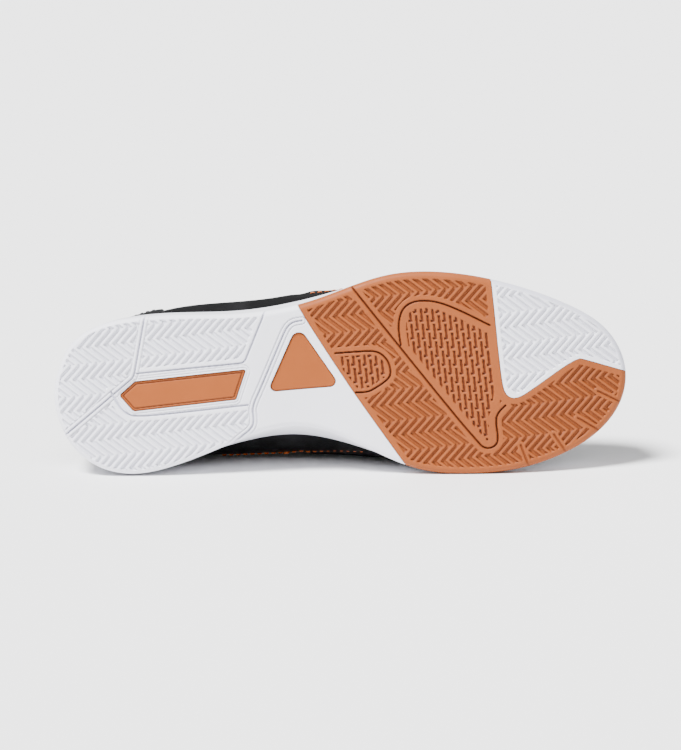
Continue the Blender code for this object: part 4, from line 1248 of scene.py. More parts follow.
    def zigzag(self, points: Array, start: tuple[float, float]) -> Array:
        """Herringbone grooves: how far a point lies in one, and how near to its walls, which take painted
        shadow.

        Rows rise slightly towards the toe. Along each row's period a groove runs out by
        zigzag_out and comes back by zigzag_back, and grooves repeat at the pitch.

        Args:
            points: Flat points.
            start: Where a groove's corner points to the heel.

        Returns:
            Two rows: the groove's share at each point, and its walls' share for the painted wall shadow.
        """
        band = (points[:, 1] - start[1] + self.row_slope * (points[:, 0] - start[0])) / self.row_height
        row = np.floor(band)
        part = band - row
        out = self.zigzag_out * part / self.zigzag_turn
        back = self.zigzag_out - self.zigzag_back * (part - self.zigzag_turn) / (1.0 - self.zigzag_turn)
        offset = np.where(part < self.zigzag_turn, out, back)
        drift = self.zigzag_out - self.zigzag_back
        count = (points[:, 0] - start[0] - offset - drift * row) / self.pitch
        away = np.abs(count - np.round(count))
        wall = self.soft_wall / self.pitch
        return np.stack((
            soft_step(0.25 + wall, 0.25 - wall, away),
            soft_step(self.wall_shadow, 0.0, np.abs(away - 0.25) * self.pitch),
        ))

    def herring(self, points: Array, start: tuple[float, float], free: Array) -> tuple[Array, Array]:
        """Herringbone held to a field: its groove's share and its painted shade.

        Args:
            points: Flat points.
            start: Where a groove's corner points to the heel.
            free: Depth inside the field.

        Returns:
            The groove's share and the painted shade at each point.
        """
        rows = self.zigzag(points, start) * soft_step(-self.soft_wall, self.soft_wall, free)
        return rows[0], np.dot(self.herring_painted_shade, rows)

    def bricks(self, points: Array) -> Array:
        """Brick grooves: leaning dashes in staggered columns, each with a foot to the left."""
        x = points[:, 0] - self.brick_start[0] - self.brick_lean * (points[:, 1] - self.brick_start[1])
        column = np.round(x / self.brick_pitch)
        aside = x - column * self.brick_pitch
        along = (points[:, 1] - self.brick_start[1]) / self.brick_length + 0.5 * np.mod(column, 2.0)
        part = along - np.floor(along)
        half = self.brick_line / 2.0
        wall = self.soft_wall / 2.0
        dash = soft_step(half + wall, half - wall, np.abs(aside)) * (part < self.brick_dash)
        level = np.abs(part - self.brick_foot) * self.brick_length
        foot = soft_step(half + wall, half - wall, level)
        foot *= (aside < 0.0) & (aside > -self.brick_foot_reach * self.brick_pitch)
        return np.maximum(dash, foot)

    def groove_line(self, spots: Sequence[Spot]) -> Array:
        """A groove's middle: the heel's two straight ones keep their corners sharp."""
        sharp = spots in (HEEL_GROOVE, PAD_GROOVE)
        return cut_corners(self.shop.last.place(spots), self.sharp_reach if sharp else math.inf)

    def groove_mask(self, points: Array, spots: Sequence[Spot], beyond: float = 0.0) -> Array:
        """Share of a groove along a line, and of a second groove a distance beside it."""
        distance = line_distance(points, self.groove_line(spots))
        half = self.groove_width / 2.0
        mask = soft_step(half + self.soft_wall, half - self.soft_wall / 2.0, distance)
        if beyond > 0.0:
            second = soft_step(half, half - self.soft_wall, np.abs(distance - beyond))
            mask = np.maximum(mask, self.companion_share * second)
        return mask

    def clearance(self, points: Array, lines: Sequence[Sequence[Spot]], margin: float) -> Array:
        """Least distance from some lines, less a margin."""
        gaps = [line_distance(points, self.groove_line(spots)) for spots in lines]
        return np.min(gaps, axis=0) - margin

    def field_depth(self, points: Array, spots: Sequence[Spot]) -> Array:
        """Depth inside a field's loop."""
        return loop_depth(points, self.shop.last.place(spots))

    def relief(self, panel: Panel, points: Array, edge: Array) -> tuple[Array, Array]:
        """How deep the panel is cut at each point: the deepest of lines and patterns.

        A pattern is held to its fields by the least of its clearances from edge, partings
        and lines.

        Args:
            panel: Which panel.
            points: Flat points.
            edge: Their depth inside the tread's edge.

        Returns:
            Depths over the tread's flat top, and the share of painted shade in each point's colour.
        """
        if panel is Panel.HEEL:
            lines = np.maximum.reduce((
                self.groove_mask(points, HEEL_GROOVE, self.heel_companion),
                self.groove_mask(points, PAD_GROOVE),
                self.groove_mask(points, SHANK_GROOVE, self.shank_companion),
                self.groove_mask(points, BAR_GROOVE),
            ))
            fields = np.maximum.reduce([
                self.field_depth(points, spots)
                for spots in (HEEL_END_FIELD, OUTER_PAD_FIELD, INNER_PAD_FIELD)
            ])
            cut = (HEEL_GROOVE, PAD_GROOVE, SHANK_GROOVE, BAR_GROOVE)
            free = np.minimum.reduce((
                fields, edge - self.heel_edge_margin,
                self.clearance(points, cut, self.heel_line_margin),
            ))
            herring, herring_painted_shade = self.herring(points, self.heel_start, free)
            away = -loop_depth(points, self.rounded(BAR_WINDOW))
            # Rim lines round the bar window: cut shallow and given painted shade.
            rim = np.max([
                soft_step(0.0004, 0.0001, np.abs(away - line)) for line in self.rim_lines
            ], axis=0)
            depth = np.maximum(self.groove * lines, self.tread_depth * herring)
            # Painted shade: full in the grooves, partial on herringbone and in the rim lines.
            shade = np.maximum.reduce((lines, herring_painted_shade, self.rim_line_painted_shade * rim))
            return np.maximum(depth, self.rim_line_depth * rim), shade
        if panel is Panel.TOE:
            free = np.minimum(edge - self.toe_margin, self.toe_side(points) - self.toe_margin)
            herring, herring_painted_shade = self.herring(points, self.forefoot_start, free)
            # Painted shade on the toe's rounded edge band.
            band = self.toe_band_painted_shade * soft_step(self.edge_round, 0.3 * self.edge_round, edge)
            return self.tread_depth * herring, np.maximum(herring_painted_shade, band)
        lines = np.maximum.reduce((
            self.groove_mask(points, FLEX_GROOVE),
            self.groove_mask(points, OVAL_GROOVE),
            self.groove_mask(points, DEE_GROOVE),
        ))
        oval = self.field_depth(points, OVAL_FIELD)
        dee = self.field_depth(points, DEE_FIELD)
        partings = np.minimum(-self.heel_side(points), -self.toe_side(points))
        free = np.minimum.reduce((
            edge - self.ball_edge_margin, partings - self.ball_parting_margin, -oval, -dee,
            self.clearance(points, (FLEX_GROOVE, OVAL_GROOVE, DEE_GROOVE), self.ball_line_margin),
            self.clearance(points, SPOKES, self.spoke_clearance),
        ))
        herring, herring_painted_shade = self.herring(points, self.forefoot_start, free)
        spoke = np.min([line_distance(points, self.shop.last.place(spots)) for spots in SPOKES], axis=0)
        fine = soft_step(self.groove_width, 0.2 * self.groove_width, spoke)
        lines = np.maximum(lines, self.spoke_line * fine)
        inner = np.maximum(oval - self.oval_margin, dee - self.dee_margin)
        brick = self.bricks(points) * soft_step(-self.soft_wall, self.soft_wall, inner)
        pattern = np.maximum(herring, self.brick_share * brick)
        depth = np.maximum(self.groove * lines, self.tread_depth * pattern)
        # Painted shade: full in grooves, partial in spoke lines, herringbone and bricks.
        shade = np.maximum.reduce((lines, herring_painted_shade, self.brick_painted_shade * brick))
        return depth, shade

    def grid(self, low: Array, high: Array, region: Callable[[Array], Array]) -> tuple[Array, Faces]:
        """A flat grid cut to a region, its border moved onto the region's edge.

        A cell stays if a corner lies inside. A corner outside moves up the slope of the
        region's depth, by its own distance outside.

        Args:
            low: Lowest corner.
            high: Highest corner.
            region: Depth inside the region at flat points.

        Returns:
            Flat points and the quads over them, which face down.
        """
        x = np.arange(low[0] - self.cell, high[0] + 2.0 * self.cell, self.cell)
        y = np.arange(low[1] - self.cell, high[1] + 2.0 * self.cell, self.cell)
        flat = np.stack(np.meshgrid(x, y, indexing="ij"), axis=-1)
        depth = region(flat.reshape(-1, 2)).reshape(len(x), len(y))
        slope = unit(np.stack(np.gradient(depth, self.cell), axis=-1))
        flat = flat + slope * np.maximum(0.0, -depth)[..., None]
        corners = np.stack((depth[:-1, :-1], depth[:-1, 1:], depth[1:, 1:], depth[1:, :-1]))
        keep = corners.max(axis=0) > 0.0
        quads = lattice(len(x), len(y))[keep.ravel()]
        used, faces = np.unique(quads, return_inverse=True)
        return flat.reshape(-1, 2)[used], faces.reshape(-1, 4)

    def walled(self, points: Array, faces: Faces, top: float) -> tuple[Array, Faces]:
        """Adds upright walls along a surface's open border, up to a height."""
        ahead = np.roll(faces, -1, axis=1)
        start = faces.ravel()
        end = ahead.ravel()
        count = len(points)
        lone = ~np.isin(start * count + end, end * count + start)
        start = start[lone]
        end = end[lone]
        border, place = np.unique(np.concatenate((start, end)), return_inverse=True)
        raised = points[border].copy()
        raised[:, 2] = top
        above_start = count + place[:len(start)]
        above_end = count + place[len(start):]
        walls = np.stack((end, start, above_start, above_end), axis=1)
        return np.vstack((points, raised)), np.vstack((faces, walls))

    def rounding(self, edge: Array) -> Array:
        """Height of the rounded edge: R less the root of R² - (R - d)² at a depth d inside."""
        short = np.clip(self.edge_round - np.maximum(edge, 0.0), 0.0, self.edge_round)
        return self.edge_round - np.sqrt(self.edge_round**2 - short**2)

    def build_panel(self, panel: Panel, low: Spot, high: Spot, finish: str) -> None:
        """Builds one panel between two corners of its box.

        Args:
            panel: Which panel.
            low: Its box's lowest corner.
            high: Its box's highest corner.
            finish: Its finish.
        """
        outline = self.edge()
        box = self.shop.last.place((low, high))

        def region(points: Array) -> Array:
            """Depth inside this panel."""
            return self.region(panel, points, loop_depth(points, outline))

        flat, faces = self.grid(box[0], box[1], region)
        edge = loop_depth(flat, outline)
        relief, shade = self.relief(panel, flat, edge)
        points = np.column_stack((flat, np.maximum(self.rounding(edge), relief)))
        points, faces = self.walled(points, faces, self.thickness)
        # Painted shade on the tread's face, none on its walls.
        cut = np.concatenate((shade, np.zeros(len(points) - len(flat))))
        points = self.shop.last.on_ground(points)
        self.shop.piece(
            f"{panel.value}_tread", points, faces, finish, finish, (panel.value,), cut=cut
        )

    def build_insert(self, name: str, corners: Sequence[Corner], line_depth: float) -> None:
        """Builds one orange insert: a plate with a line inside its edge, and painted shade in the line and
        along the sunken edge.

        Args:
            name: The CAD node that it stands for.
            corners: The window's corners.
            line_depth: How deep the line is cut.
        """
        outline = self.rounded(corners, self.shop.last.gap)

        def region(points: Array) -> Array:
            """Depth inside this insert."""
            return loop_depth(points, outline)

        flat, faces = self.grid(outline.min(axis=0), outline.max(axis=0), region)
        depth = loop_depth(flat, outline)
        line = soft_step(0.0005, 0.0001, np.abs(depth - self.bar_line))
        step = soft_step(0.0006, 0.0, depth)
        height = self.insert_recess + line_depth * line + self.insert_step * step
        points, faces = self.walled(np.column_stack((flat, height)), faces, self.thickness)
        # Painted shade in the line and along the plate's sunken edge.
        cut = np.zeros(len(points))
        shade = self.insert_painted_shade * line * (line_depth > 0.0)
        cut[:len(flat)] = np.maximum(shade, self.insert_painted_shade * step)
        points = self.shop.last.on_ground(points)
        self.shop.piece(
            f"{name}_plate", points, faces, "orange_rubber", "orange_rubber", (name,), cut=cut
        )

    def build(self) -> None:
        """Builds the panels and the inserts."""
        self.build_panel(Panel.HEEL, Spot(0.0, -0.46), Spot(0.64, 0.43), "white_rubber")
        self.build_panel(Panel.FOREFOOT, Spot(0.41, -0.60), Spot(1.0, 0.43), "gum_rubber")
        self.build_panel(Panel.TOE, Spot(0.755, -0.57), Spot(1.0, 0.06), "white_rubber")
        self.build_insert("heel_insert", BAR_WINDOW, self.bar_line_depth)
        self.build_insert("arch_insert", ARCH_WINDOW, 0.0)


@dataclass
class Midsole:
    """White foam midsole with a rim that cups the upper, and the liner on its footbed."""

    shop: Workshop
    columns: int = 320
    outsole: float = 0.0045
    rim_bevel: float = 0.0009
    insole: float = 0.004
    insole_round: float = 0.0012
    insole_steps: tuple[float, ...] = (0.004, 0.009, 0.016)
    insole_dish: float = 0.02
    foot_steps: tuple[float, ...] = (0.0008, 0.0002, 0.0)
    foot_bevel: float = 0.0006
    floor_reach: float = 0.012
    bed_reach: float = 0.016
    wall_line: float = 0.80
    wall_line_depth: float = 0.0003
    wall_line_width: float = 0.035

    def build(self) -> None:
        """Builds the midsole's wall as rings round the sole, from under the rim to the footbed."""
        last = self.shop.last
        ring = last.ring_places(self.columns)
        rim = last.rim_height(ring)
        bed = last.footbed_height(ring)
        inner = last.cup_inset(ring) - last.side_inset(ring, bed)
        foot = self.outsole + last.gap
        rings = [last.sole_ring(ring, foot, self.floor_reach)]
        for inset in self.foot_steps:
            rings.append(last.sole_ring(ring, foot + self.foot_bevel - 0.75 * inset, inset))
        for share in np.linspace(0.06, 1.0, 16):
            level = foot + (rim - self.rim_bevel - foot) * share
            line = np.exp(-((share - self.wall_line) / self.wall_line_width) ** 2)
            rings.append(last.sole_ring(ring, level, self.wall_line_depth * line))
        for turn in np.radians((30.0, 60.0, 90.0)):
            level = rim - self.rim_bevel * (1.0 - math.sin(turn))
            rings.append(last.sole_ring(ring, level, self.rim_bevel * (1.0 - math.cos(turn))))
        rings.append(last.sole_ring(ring, rim, last.rim_wall - 0.0004))
        rings.append(last.sole_ring(ring, rim - 0.0005, last.rim_wall))
        rings.append(last.sole_ring(ring, bed, inner))
        rings.append(last.sole_ring(ring, bed, self.bed_reach))
        points, faces = self.closed(rings)
        self.shop.piece("midsole_wall", points, faces, "white_foam", "white_foam", ("midsole",))

    def closed(self, rings: Sequence[Array]) -> tuple[Array, Faces]:
        """A body of rings, closed at both ends with rungs from side to side.

        Args:
            rings: Points over the tread, an even count in each ring.

        Returns:
            Points on the ground and faces that point outwards.
        """
        count = len(rings[0])
        points = self.shop.last.on_ground(np.array(rings)).reshape(-1, 3)
        faces = lattice(len(rings), count, wrap=True)
        rungs = []
        for index, start in enumerate((0, (len(rings) - 1) * count)):
            end = start + np.arange(count)
            half = len(end) // 2
            near = end[:half]
            far = np.roll(end[::-1], 1)[:half]
            rung = np.stack((near[:-1], near[1:], far[1:], far[:-1]), axis=1)
            last_rung = np.array([[near[-1], end[half], end[half], far[-1]]])
            rung = np.vstack((rung, last_rung))
            rungs.append(rung if index else rung[:, ::-1])
        return points, outward_faces(points, np.vstack((faces, *rungs)))

    def build_insole(self) -> None:
        """Builds the liner: rings round the footbed with a rounded top edge."""
        last = self.shop.last
        ring = last.ring_places(self.columns)
        low = last.footbed_height(ring) + last.gap
        inset = last.cup_inset(ring) + last.skirt_gap + last.wall + last.gap
        rings = [last.sole_ring(ring, low, inset - last.side_inset(ring, low))]
        for turn in np.radians((0.0, 30.0, 60.0, 90.0)):
            level = low + self.insole - self.insole_round * (1.0 - math.sin(turn))
            step = self.insole_round * (1.0 - math.cos(turn))
            rings.append(last.sole_ring(ring, level, inset + step - last.side_inset(ring, level)))
        for step in self.insole_steps:
            level = low + self.insole - self.insole_dish * (step - self.insole_steps[0])
            rings.append(last.sole_ring(ring, level, inset + step - last.side_inset(ring, level)))
        points, faces = self.closed(rings)
        self.shop.piece(
            "insole_liner", points, faces, "liner", "liner", ("insole",), uv=points[:, 0:2]
        )


@dataclass
class Upper:
    """The black upper with its padded collar, overlays, eyelets and stitching."""

    shop: Workshop
    columns: int = 384
    rows: int = 48
    lip_rows: int = 7
    overlay: float = 0.0012
    overlay_edge: float = 0.0009
    eyestay_width: float = 0.017
    eyelet_hole: float = 0.0044
    toe_cap_reach: float = 0.21
    counter_reach: float = 0.23
    eyestay_reach: float = 0.545
    stitch: float = 0.0026
    stitch_gap: float = 0.0011
    thread: float = 0.00038
    crease_middle: float = 0.004
    ridge: float = 0.45
    ridge_after: float = 1.9
    foxing_height: float = 0.0102
    foxing_from: float = 0.395
    foxing_depth: float = 0.0006
    lip_bulge: float = 0.0022
    panel_foot: float = 0.0012
    panel_lift: float = 0.0001
    toe_cap_seams: tuple[float, float] = (0.035, 0.065)
    side_seam_lift: float = 0.0002
    bar_tack_lift: float = 0.0006
    bar_tack_half: float = 0.002

    def creases(self, points: Array, share: Array) -> Array:
        """Soft troughs where the shoe bends at the ball, and ridges between them.

        Each trough is a bell curve across a line that runs over the vamp and leans back
        towards its ends, held away from the sole and the throat.

        Args:
            points: Points of the outer face.
            share: Their places up the ribs.

        Returns:
            How far each point moves outwards.
        """
        x = points[..., 0] / self.shop.last.length
        y = np.abs(points[..., 1] + self.crease_middle) / self.shop.last.ball_width
        move = np.zeros_like(x)
        for crease in CREASES:
            away = (x - crease.along + crease.lean * y) / crease.width
            move -= crease.depth * np.exp(-(away**2))
            move += self.ridge * crease.depth * np.exp(-((away - self.ridge_after) ** 2))
        held = soft_step(0.10, 0.34, share) * soft_step(1.0, 0.86, share)
        return move * held

    def foxing(self, ring: Array, points: Array) -> Array:
        """Raised band along the sole, from the waist to the toe cap, with a soft edge."""
        last = self.shop.last
        over = points[..., 2] - last.feather(ring)[:, 2]
        x = points[..., 0] / last.length
        low = soft_step(self.foxing_height, self.foxing_height - 0.0012, over)
        band = low * soft_step(self.foxing_from, self.foxing_from + 0.007, x)
        return self.foxing_depth * band

    def build_shell(self) -> bpy.types.Object:
        """Builds the shell: up the outer face, over a round lip and down the lining."""
        last = self.shop.last
        ring = last.ring_places(self.columns)
        shares = np.linspace(0.0, 0.985, self.rows)
        outer = last.surface(ring[None, :], shares[:, None] * np.ones_like(ring))
        normal = grid_normals(outer, wrap=True)
        relief = self.creases(outer, shares[:, None])
        relief += np.stack([self.foxing(ring, row) for row in outer])
        wall = last.wall_at(ring[None, :], shares[:, None] * np.ones_like(ring))
        level = last.footbed_height(ring) + last.gap
        inset = last.cup_inset(ring) + last.skirt_gap - last.side_inset(ring, level)
        skirt = last.on_ground(last.sole_ring(ring, level, inset))
        skirt_inner = last.on_ground(last.sole_ring(ring, level, inset + last.wall))
        inner = outer - normal * wall[..., None]
        outer = outer + normal * relief[..., None]
        top = outer[-1]
        middle = (outer[-1] + inner[-1]) / 2.0
        half = np.linalg.norm(outer[-1] - inner[-1], axis=1)[:, None] / 2.0
        rise = unit(outer[-1] - outer[-3])
        across = unit(top - middle)
        turns = np.linspace(0.0, math.pi, self.lip_rows + 2)[1:-1]
        bulge = np.minimum(half, self.lip_bulge)
        lip = [middle + half * math.cos(t) * across + bulge * math.sin(t) * rise for t in turns]
        rows = [skirt[None], outer, np.array(lip), inner[::-1], skirt_inner[None]]
        grid = np.vstack(rows)
        points = grid.reshape(-1, 3)
        faces = lattice(len(grid), len(ring), wrap=True)
        index = np.arange(len(points)).reshape(len(grid), len(ring))
        ahead = np.roll(index, -1, axis=1)
        foot = np.stack((index[-1], ahead[-1], ahead[0], index[0]), axis=1)
        faces = outward_faces(points, np.vstack((faces, foot)))
        run = np.linalg.norm(np.roll(grid, -1, axis=1) - grid, axis=2).cumsum(axis=1)
        climb = np.linalg.norm(np.diff(grid, axis=0), axis=2).cumsum(axis=0)
        climb = np.vstack((np.zeros((1, len(ring))), climb))
        uv = np.stack((run, climb), axis=-1).reshape(-1, 2)
        shell = self.shop.piece(
            "upper_shell", points, faces, "black_upper", "black_upper", ("upper",), uv=uv
        )
        shell.data.materials.append(self.shop.wardrobe.get("liner"))
        lining = np.repeat(np.arange(len(grid) - 1) >= 1 + self.rows + self.lip_rows // 2, len(ring))
        lining = np.concatenate((lining, np.zeros(len(ring), bool)))
        shell.data.polygons.foreach_set("material_index", lining.astype(np.int32))
        return shell

    def panel(self, name: str, ring: Array, low: Array, high: Array, steps: int) -> bpy.types.Object:
        """Builds an overlay between two lines of shares, with rounded edges.

        Its thickness rises from nothing at each edge as a quarter circle.

        Args:
            name: The CAD node that it stands for.
            ring: Places round the shoe.
            low: Lower line of shares.
            high: Upper line of shares.
            steps: Rows between the lines.

        Returns:
            The panel.
        """
        last = self.shop.last
        along = np.linspace(0.0, 1.0, steps)
        share = low + (high - low) * along[:, None]
        ring = np.broadcast_to(ring, share.shape)
        base = last.surface(ring, share)
        normal = last.surface_normal(ring, share)
        base = base + normal * self.creases(base, share)[..., None]
        up = np.linalg.norm(np.diff(base, axis=0), axis=2).cumsum(axis=0)
        up = np.vstack((np.zeros((1, base.shape[1])), up))
        round_ = np.linalg.norm(np.diff(base, axis=1), axis=2).cumsum(axis=1)
        round_ = np.column_stack((np.zeros(base.shape[0]), round_))
        edge = np.minimum(np.minimum(up, up[-1] - up), np.minimum(round_, round_[:, -1:] - round_))
        short = 1.0 - np.clip(edge / self.overlay_edge, 0.0, 1.0)
        thick = self.overlay * np.sqrt(np.maximum(0.0, 1.0 - short**2))
        outer = base + normal * (last.gap + self.panel_lift + thick)[..., None]
        inner = base + normal * (last.gap / 2.0)
        points, faces = slab(outer, inner)
        uv = np.tile(np.stack((round_, up), axis=-1).reshape(-1, 2), (2, 1))
        return self.shop.piece(
            f"{name}_panel", points, faces, "black_overlay", "black_overlay", (name,), uv=uv
        )

    def beads(self, line: Array, normal: Array) -> tuple[Array, Faces]:
        """Thread along a line: one small rounded bead for each stitch.

        A bead is a six-sided tube that narrows at both ends. Its middle follows the line at
        even steps, and its lower half lies in the surface.

        Args:
            line: Points of the line on the surface.
            normal: Outward vectors at those points.

        Returns:
            Points and faces.
        """
        run = np.concatenate(((0.0,), np.cumsum(np.linalg.norm(np.diff(line, axis=0), axis=1))))
        count = max(1, int(run[-1] / (self.stitch + self.stitch_gap)))
        at = (np.arange(count) + 0.5) * run[-1] / count

        def read(values: Array, where: Array) -> Array:
            """Values along the line at distances."""
            return np.column_stack([np.interp(where, run, values[:, axis]) for axis in range(3)])

        middle = read(line, at)
        way = unit(read(line, at + 0.0005) - read(line, at - 0.0005))
        out = unit(read(normal, at))
        beside = unit(np.cross(out, way))
        along = np.array((-0.50, -0.38, -0.15, 0.15, 0.38, 0.50))
        width = np.array((0.25, 0.85, 1.0, 1.0, 0.85, 0.25))
        lift = np.array((-0.9, 0.15, 0.5, 0.5, 0.15, -0.9))
        angle = np.arange(6) * math.pi / 3.0
        ring_side = (width[:, None] * np.cos(angle)).ravel()
        ring_out = (width[:, None] * np.sin(angle) + lift[:, None]).ravel()
        ring_way = np.repeat(along, 6)
        points = (
            middle[:, None, :]
            + way[:, None, :] * (ring_way * self.stitch)[:, None]
            + beside[:, None, :] * (ring_side * self.thread)[:, None]
            + out[:, None, :] * (ring_out * self.thread)[:, None]
        )
        tube = lattice(6, 6, wrap=True)
        caps = np.array([[0, 1, 2, 3], [0, 3, 4, 5], [33, 32, 31, 30], [35, 34, 33, 30]])
        body = outward_faces(points[0], np.vstack((tube, caps)))
        faces = (body[None] + 36 * np.arange(count)[:, None, None]).reshape(-1, 4)
        return points.reshape(-1, 3), faces

    def seam(self, name: str, rows: Sequence[tuple[Array, Array]], lift: float, finish: str) -> None:
        """Sews rows of stitches, each along ring places and shares, above the outer face.

        Args:
            name: The seam's name.
            rows: Ring places and shares of each row.
            lift: Height over the upper's outer face.
            finish: The thread's finish.
        """
        last = self.shop.last
        points: list[Array] = []
        faces: list[Faces] = []
        start = 0
        for ring, share in rows:
            line = last.surface(ring, share)
            normal = last.surface_normal(ring, share)
            line = line + normal * (self.creases(line, share) + lift)[:, None]
            row, body = self.beads(line, normal)
            points.append(row)
            faces.append(body + start)
            start += len(row)
        self.shop.piece(name, np.vstack(points), np.vstack(faces), finish, "black_overlay")

    def build_overlays(self) -> bpy.types.Object:
        """Builds toe cap, heel counter and eyestay with the seams along their edges."""
        last = self.shop.last
        over = last.gap + self.overlay
        ring = np.linspace(1.0 - self.toe_cap_reach, 1.0 + self.toe_cap_reach, 150)
        low = last.share_over_rim(ring, self.panel_foot)
        arch = 1.0 - ((ring - 1.0) / self.toe_cap_reach) ** 2
        high = low + 0.03 + 0.46 * arch
        self.panel("toe_cap", ring, low, high, 48)
        inner = slice(4, -4)
        rows = [(ring[inner], (high - below)[inner]) for below in self.toe_cap_seams]
        self.seam("toe_cap_seam", rows, over, "black_thread")

        ring = np.linspace(-self.counter_reach, self.counter_reach, 150)
        low = last.share_over_rim(ring, self.panel_foot)
        arch = 1.0 - (ring / self.counter_reach) ** 2
        high = low + 0.16 + 0.46 * arch
        self.panel("heel_counter", ring, low, high, 40)
        self.seam("counter_seam", [(ring[inner], (high - 0.04)[inner])], over, "black_thread")

        ring = np.linspace(1.0 - self.eyestay_reach, 1.0 + self.eyestay_reach, 420)
        high = last.share_below_top(ring, 0.0004)
        low = last.share_below_top(ring, self.eyestay_width)
        eyestay = self.panel("eyestay", ring, low, high, 34)
        edges = [last.share_below_top(ring, depth) for depth in (0.0020, self.eyestay_width - 0.0018)]
        self.seam("eyestay_seam", [(ring[6:-6], edge[6:-6]) for edge in edges], over, "black_thread")
        return eyestay

    def build_side_seams(self) -> None:
        """Orange stitching along both sides, with a bar tack on the inner one."""
        last = self.shop.last
        for side, places in (("outer", OUTER_SEAM), ("inner", INNER_SEAM)):
            knots = [place.ring for place in places]
            ring = np.linspace(knots[0], knots[-1], 160)
            over = natural_spline(knots, [place.over_rim for place in places], ring)[:, 0]
            row = (ring, last.share_over_rim(ring, over))
            self.seam(f"{side}_side_seam", [row], self.side_seam_lift, "orange_thread")
            if side == "inner":
                tack = np.interp(BAR_TACK, ring, over)
                rise = np.linspace(-0.6 * self.stitch, 0.6 * self.stitch, 5)
                rows = []
                for step in np.linspace(-self.bar_tack_half, self.bar_tack_half, 5):
                    at = np.full(len(rise), BAR_TACK + step)
                    rows.append((at, last.share_over_rim(at, tack + rise)))
                self.seam("bar_tack", rows, self.bar_tack_lift, "orange_thread")

    def build_eyelets(self, shell: bpy.types.Object, eyestay: bpy.types.Object) -> None:
        """Cuts the eyelet holes through eyestay and shell, square to the instep.

        Args:
            shell: The upper's shell.
            eyestay: The eyestay's panel.
        """
        last = self.shop.last
        step = 0.001
        sides = 24
        angle = np.arange(sides) * 2.0 * math.pi / sides
        circle = np.column_stack((np.cos(angle), np.sin(angle))) * self.eyelet_hole / 2.0
        points = []
        faces: list[tuple[int, ...]] = []
        for x, outer, inner in last.eyelets():
            for y in (outer, inner):
                height = float(last.instep(np.array(x), y))
                slope_x = (float(last.instep(np.array(x + step), y)) - height) / step
                slope_y = (float(last.instep(np.array(x), y + step)) - height) / step
                turn = np.array(Vector((-slope_x, -slope_y, 1.0)).to_track_quat("Z", "Y").to_matrix())
                start = len(points) * 2 * sides
                ends = [np.column_stack((circle, np.full(sides, z))) for z in (-0.012, 0.012)]
                points.append(np.vstack(ends) @ turn.T + np.array((x, y, height)))
                ring = range(sides)
                faces.append(tuple(start + index for index in reversed(ring)))
                faces.append(tuple(start + sides + index for index in ring))
                for index in ring:
                    beside = (index + 1) % sides
                    low = (start + index, start + beside)
                    faces.append((*low, low[1] + sides, low[0] + sides))
        mesh = bpy.data.meshes.new("eyelet_cutter")
        mesh.from_pydata(self.shop.placement.to_row(np.vstack(points)).tolist(), [], faces)
        cutter = bpy.data.objects.new("eyelet_cutter", mesh)
        bpy.context.scene.collection.objects.link(cutter)
        for item in (shell, eyestay):
            modifier = item.modifiers.new("Eyelets", "BOOLEAN")
            modifier.operation = "DIFFERENCE"
            modifier.solver = "EXACT"
            modifier.object = cutter
            bpy.context.view_layer.update()
            graph = bpy.context.evaluated_depsgraph_get()
            cut = bpy.data.meshes.new_from_object(item.evaluated_get(graph))
            item.modifiers.clear()
            item.data = cut
            cut.set_sharp_from_angle(angle=math.radians(50.0))
        bpy.data.objects.remove(cutter)

    def build(self) -> None:
        """Builds shell, overlays, eyelets and seams."""
        shell = self.build_shell()
        eyestay = self.build_overlays()
        self.build_eyelets(shell, eyestay)
        self.build_side_seams()


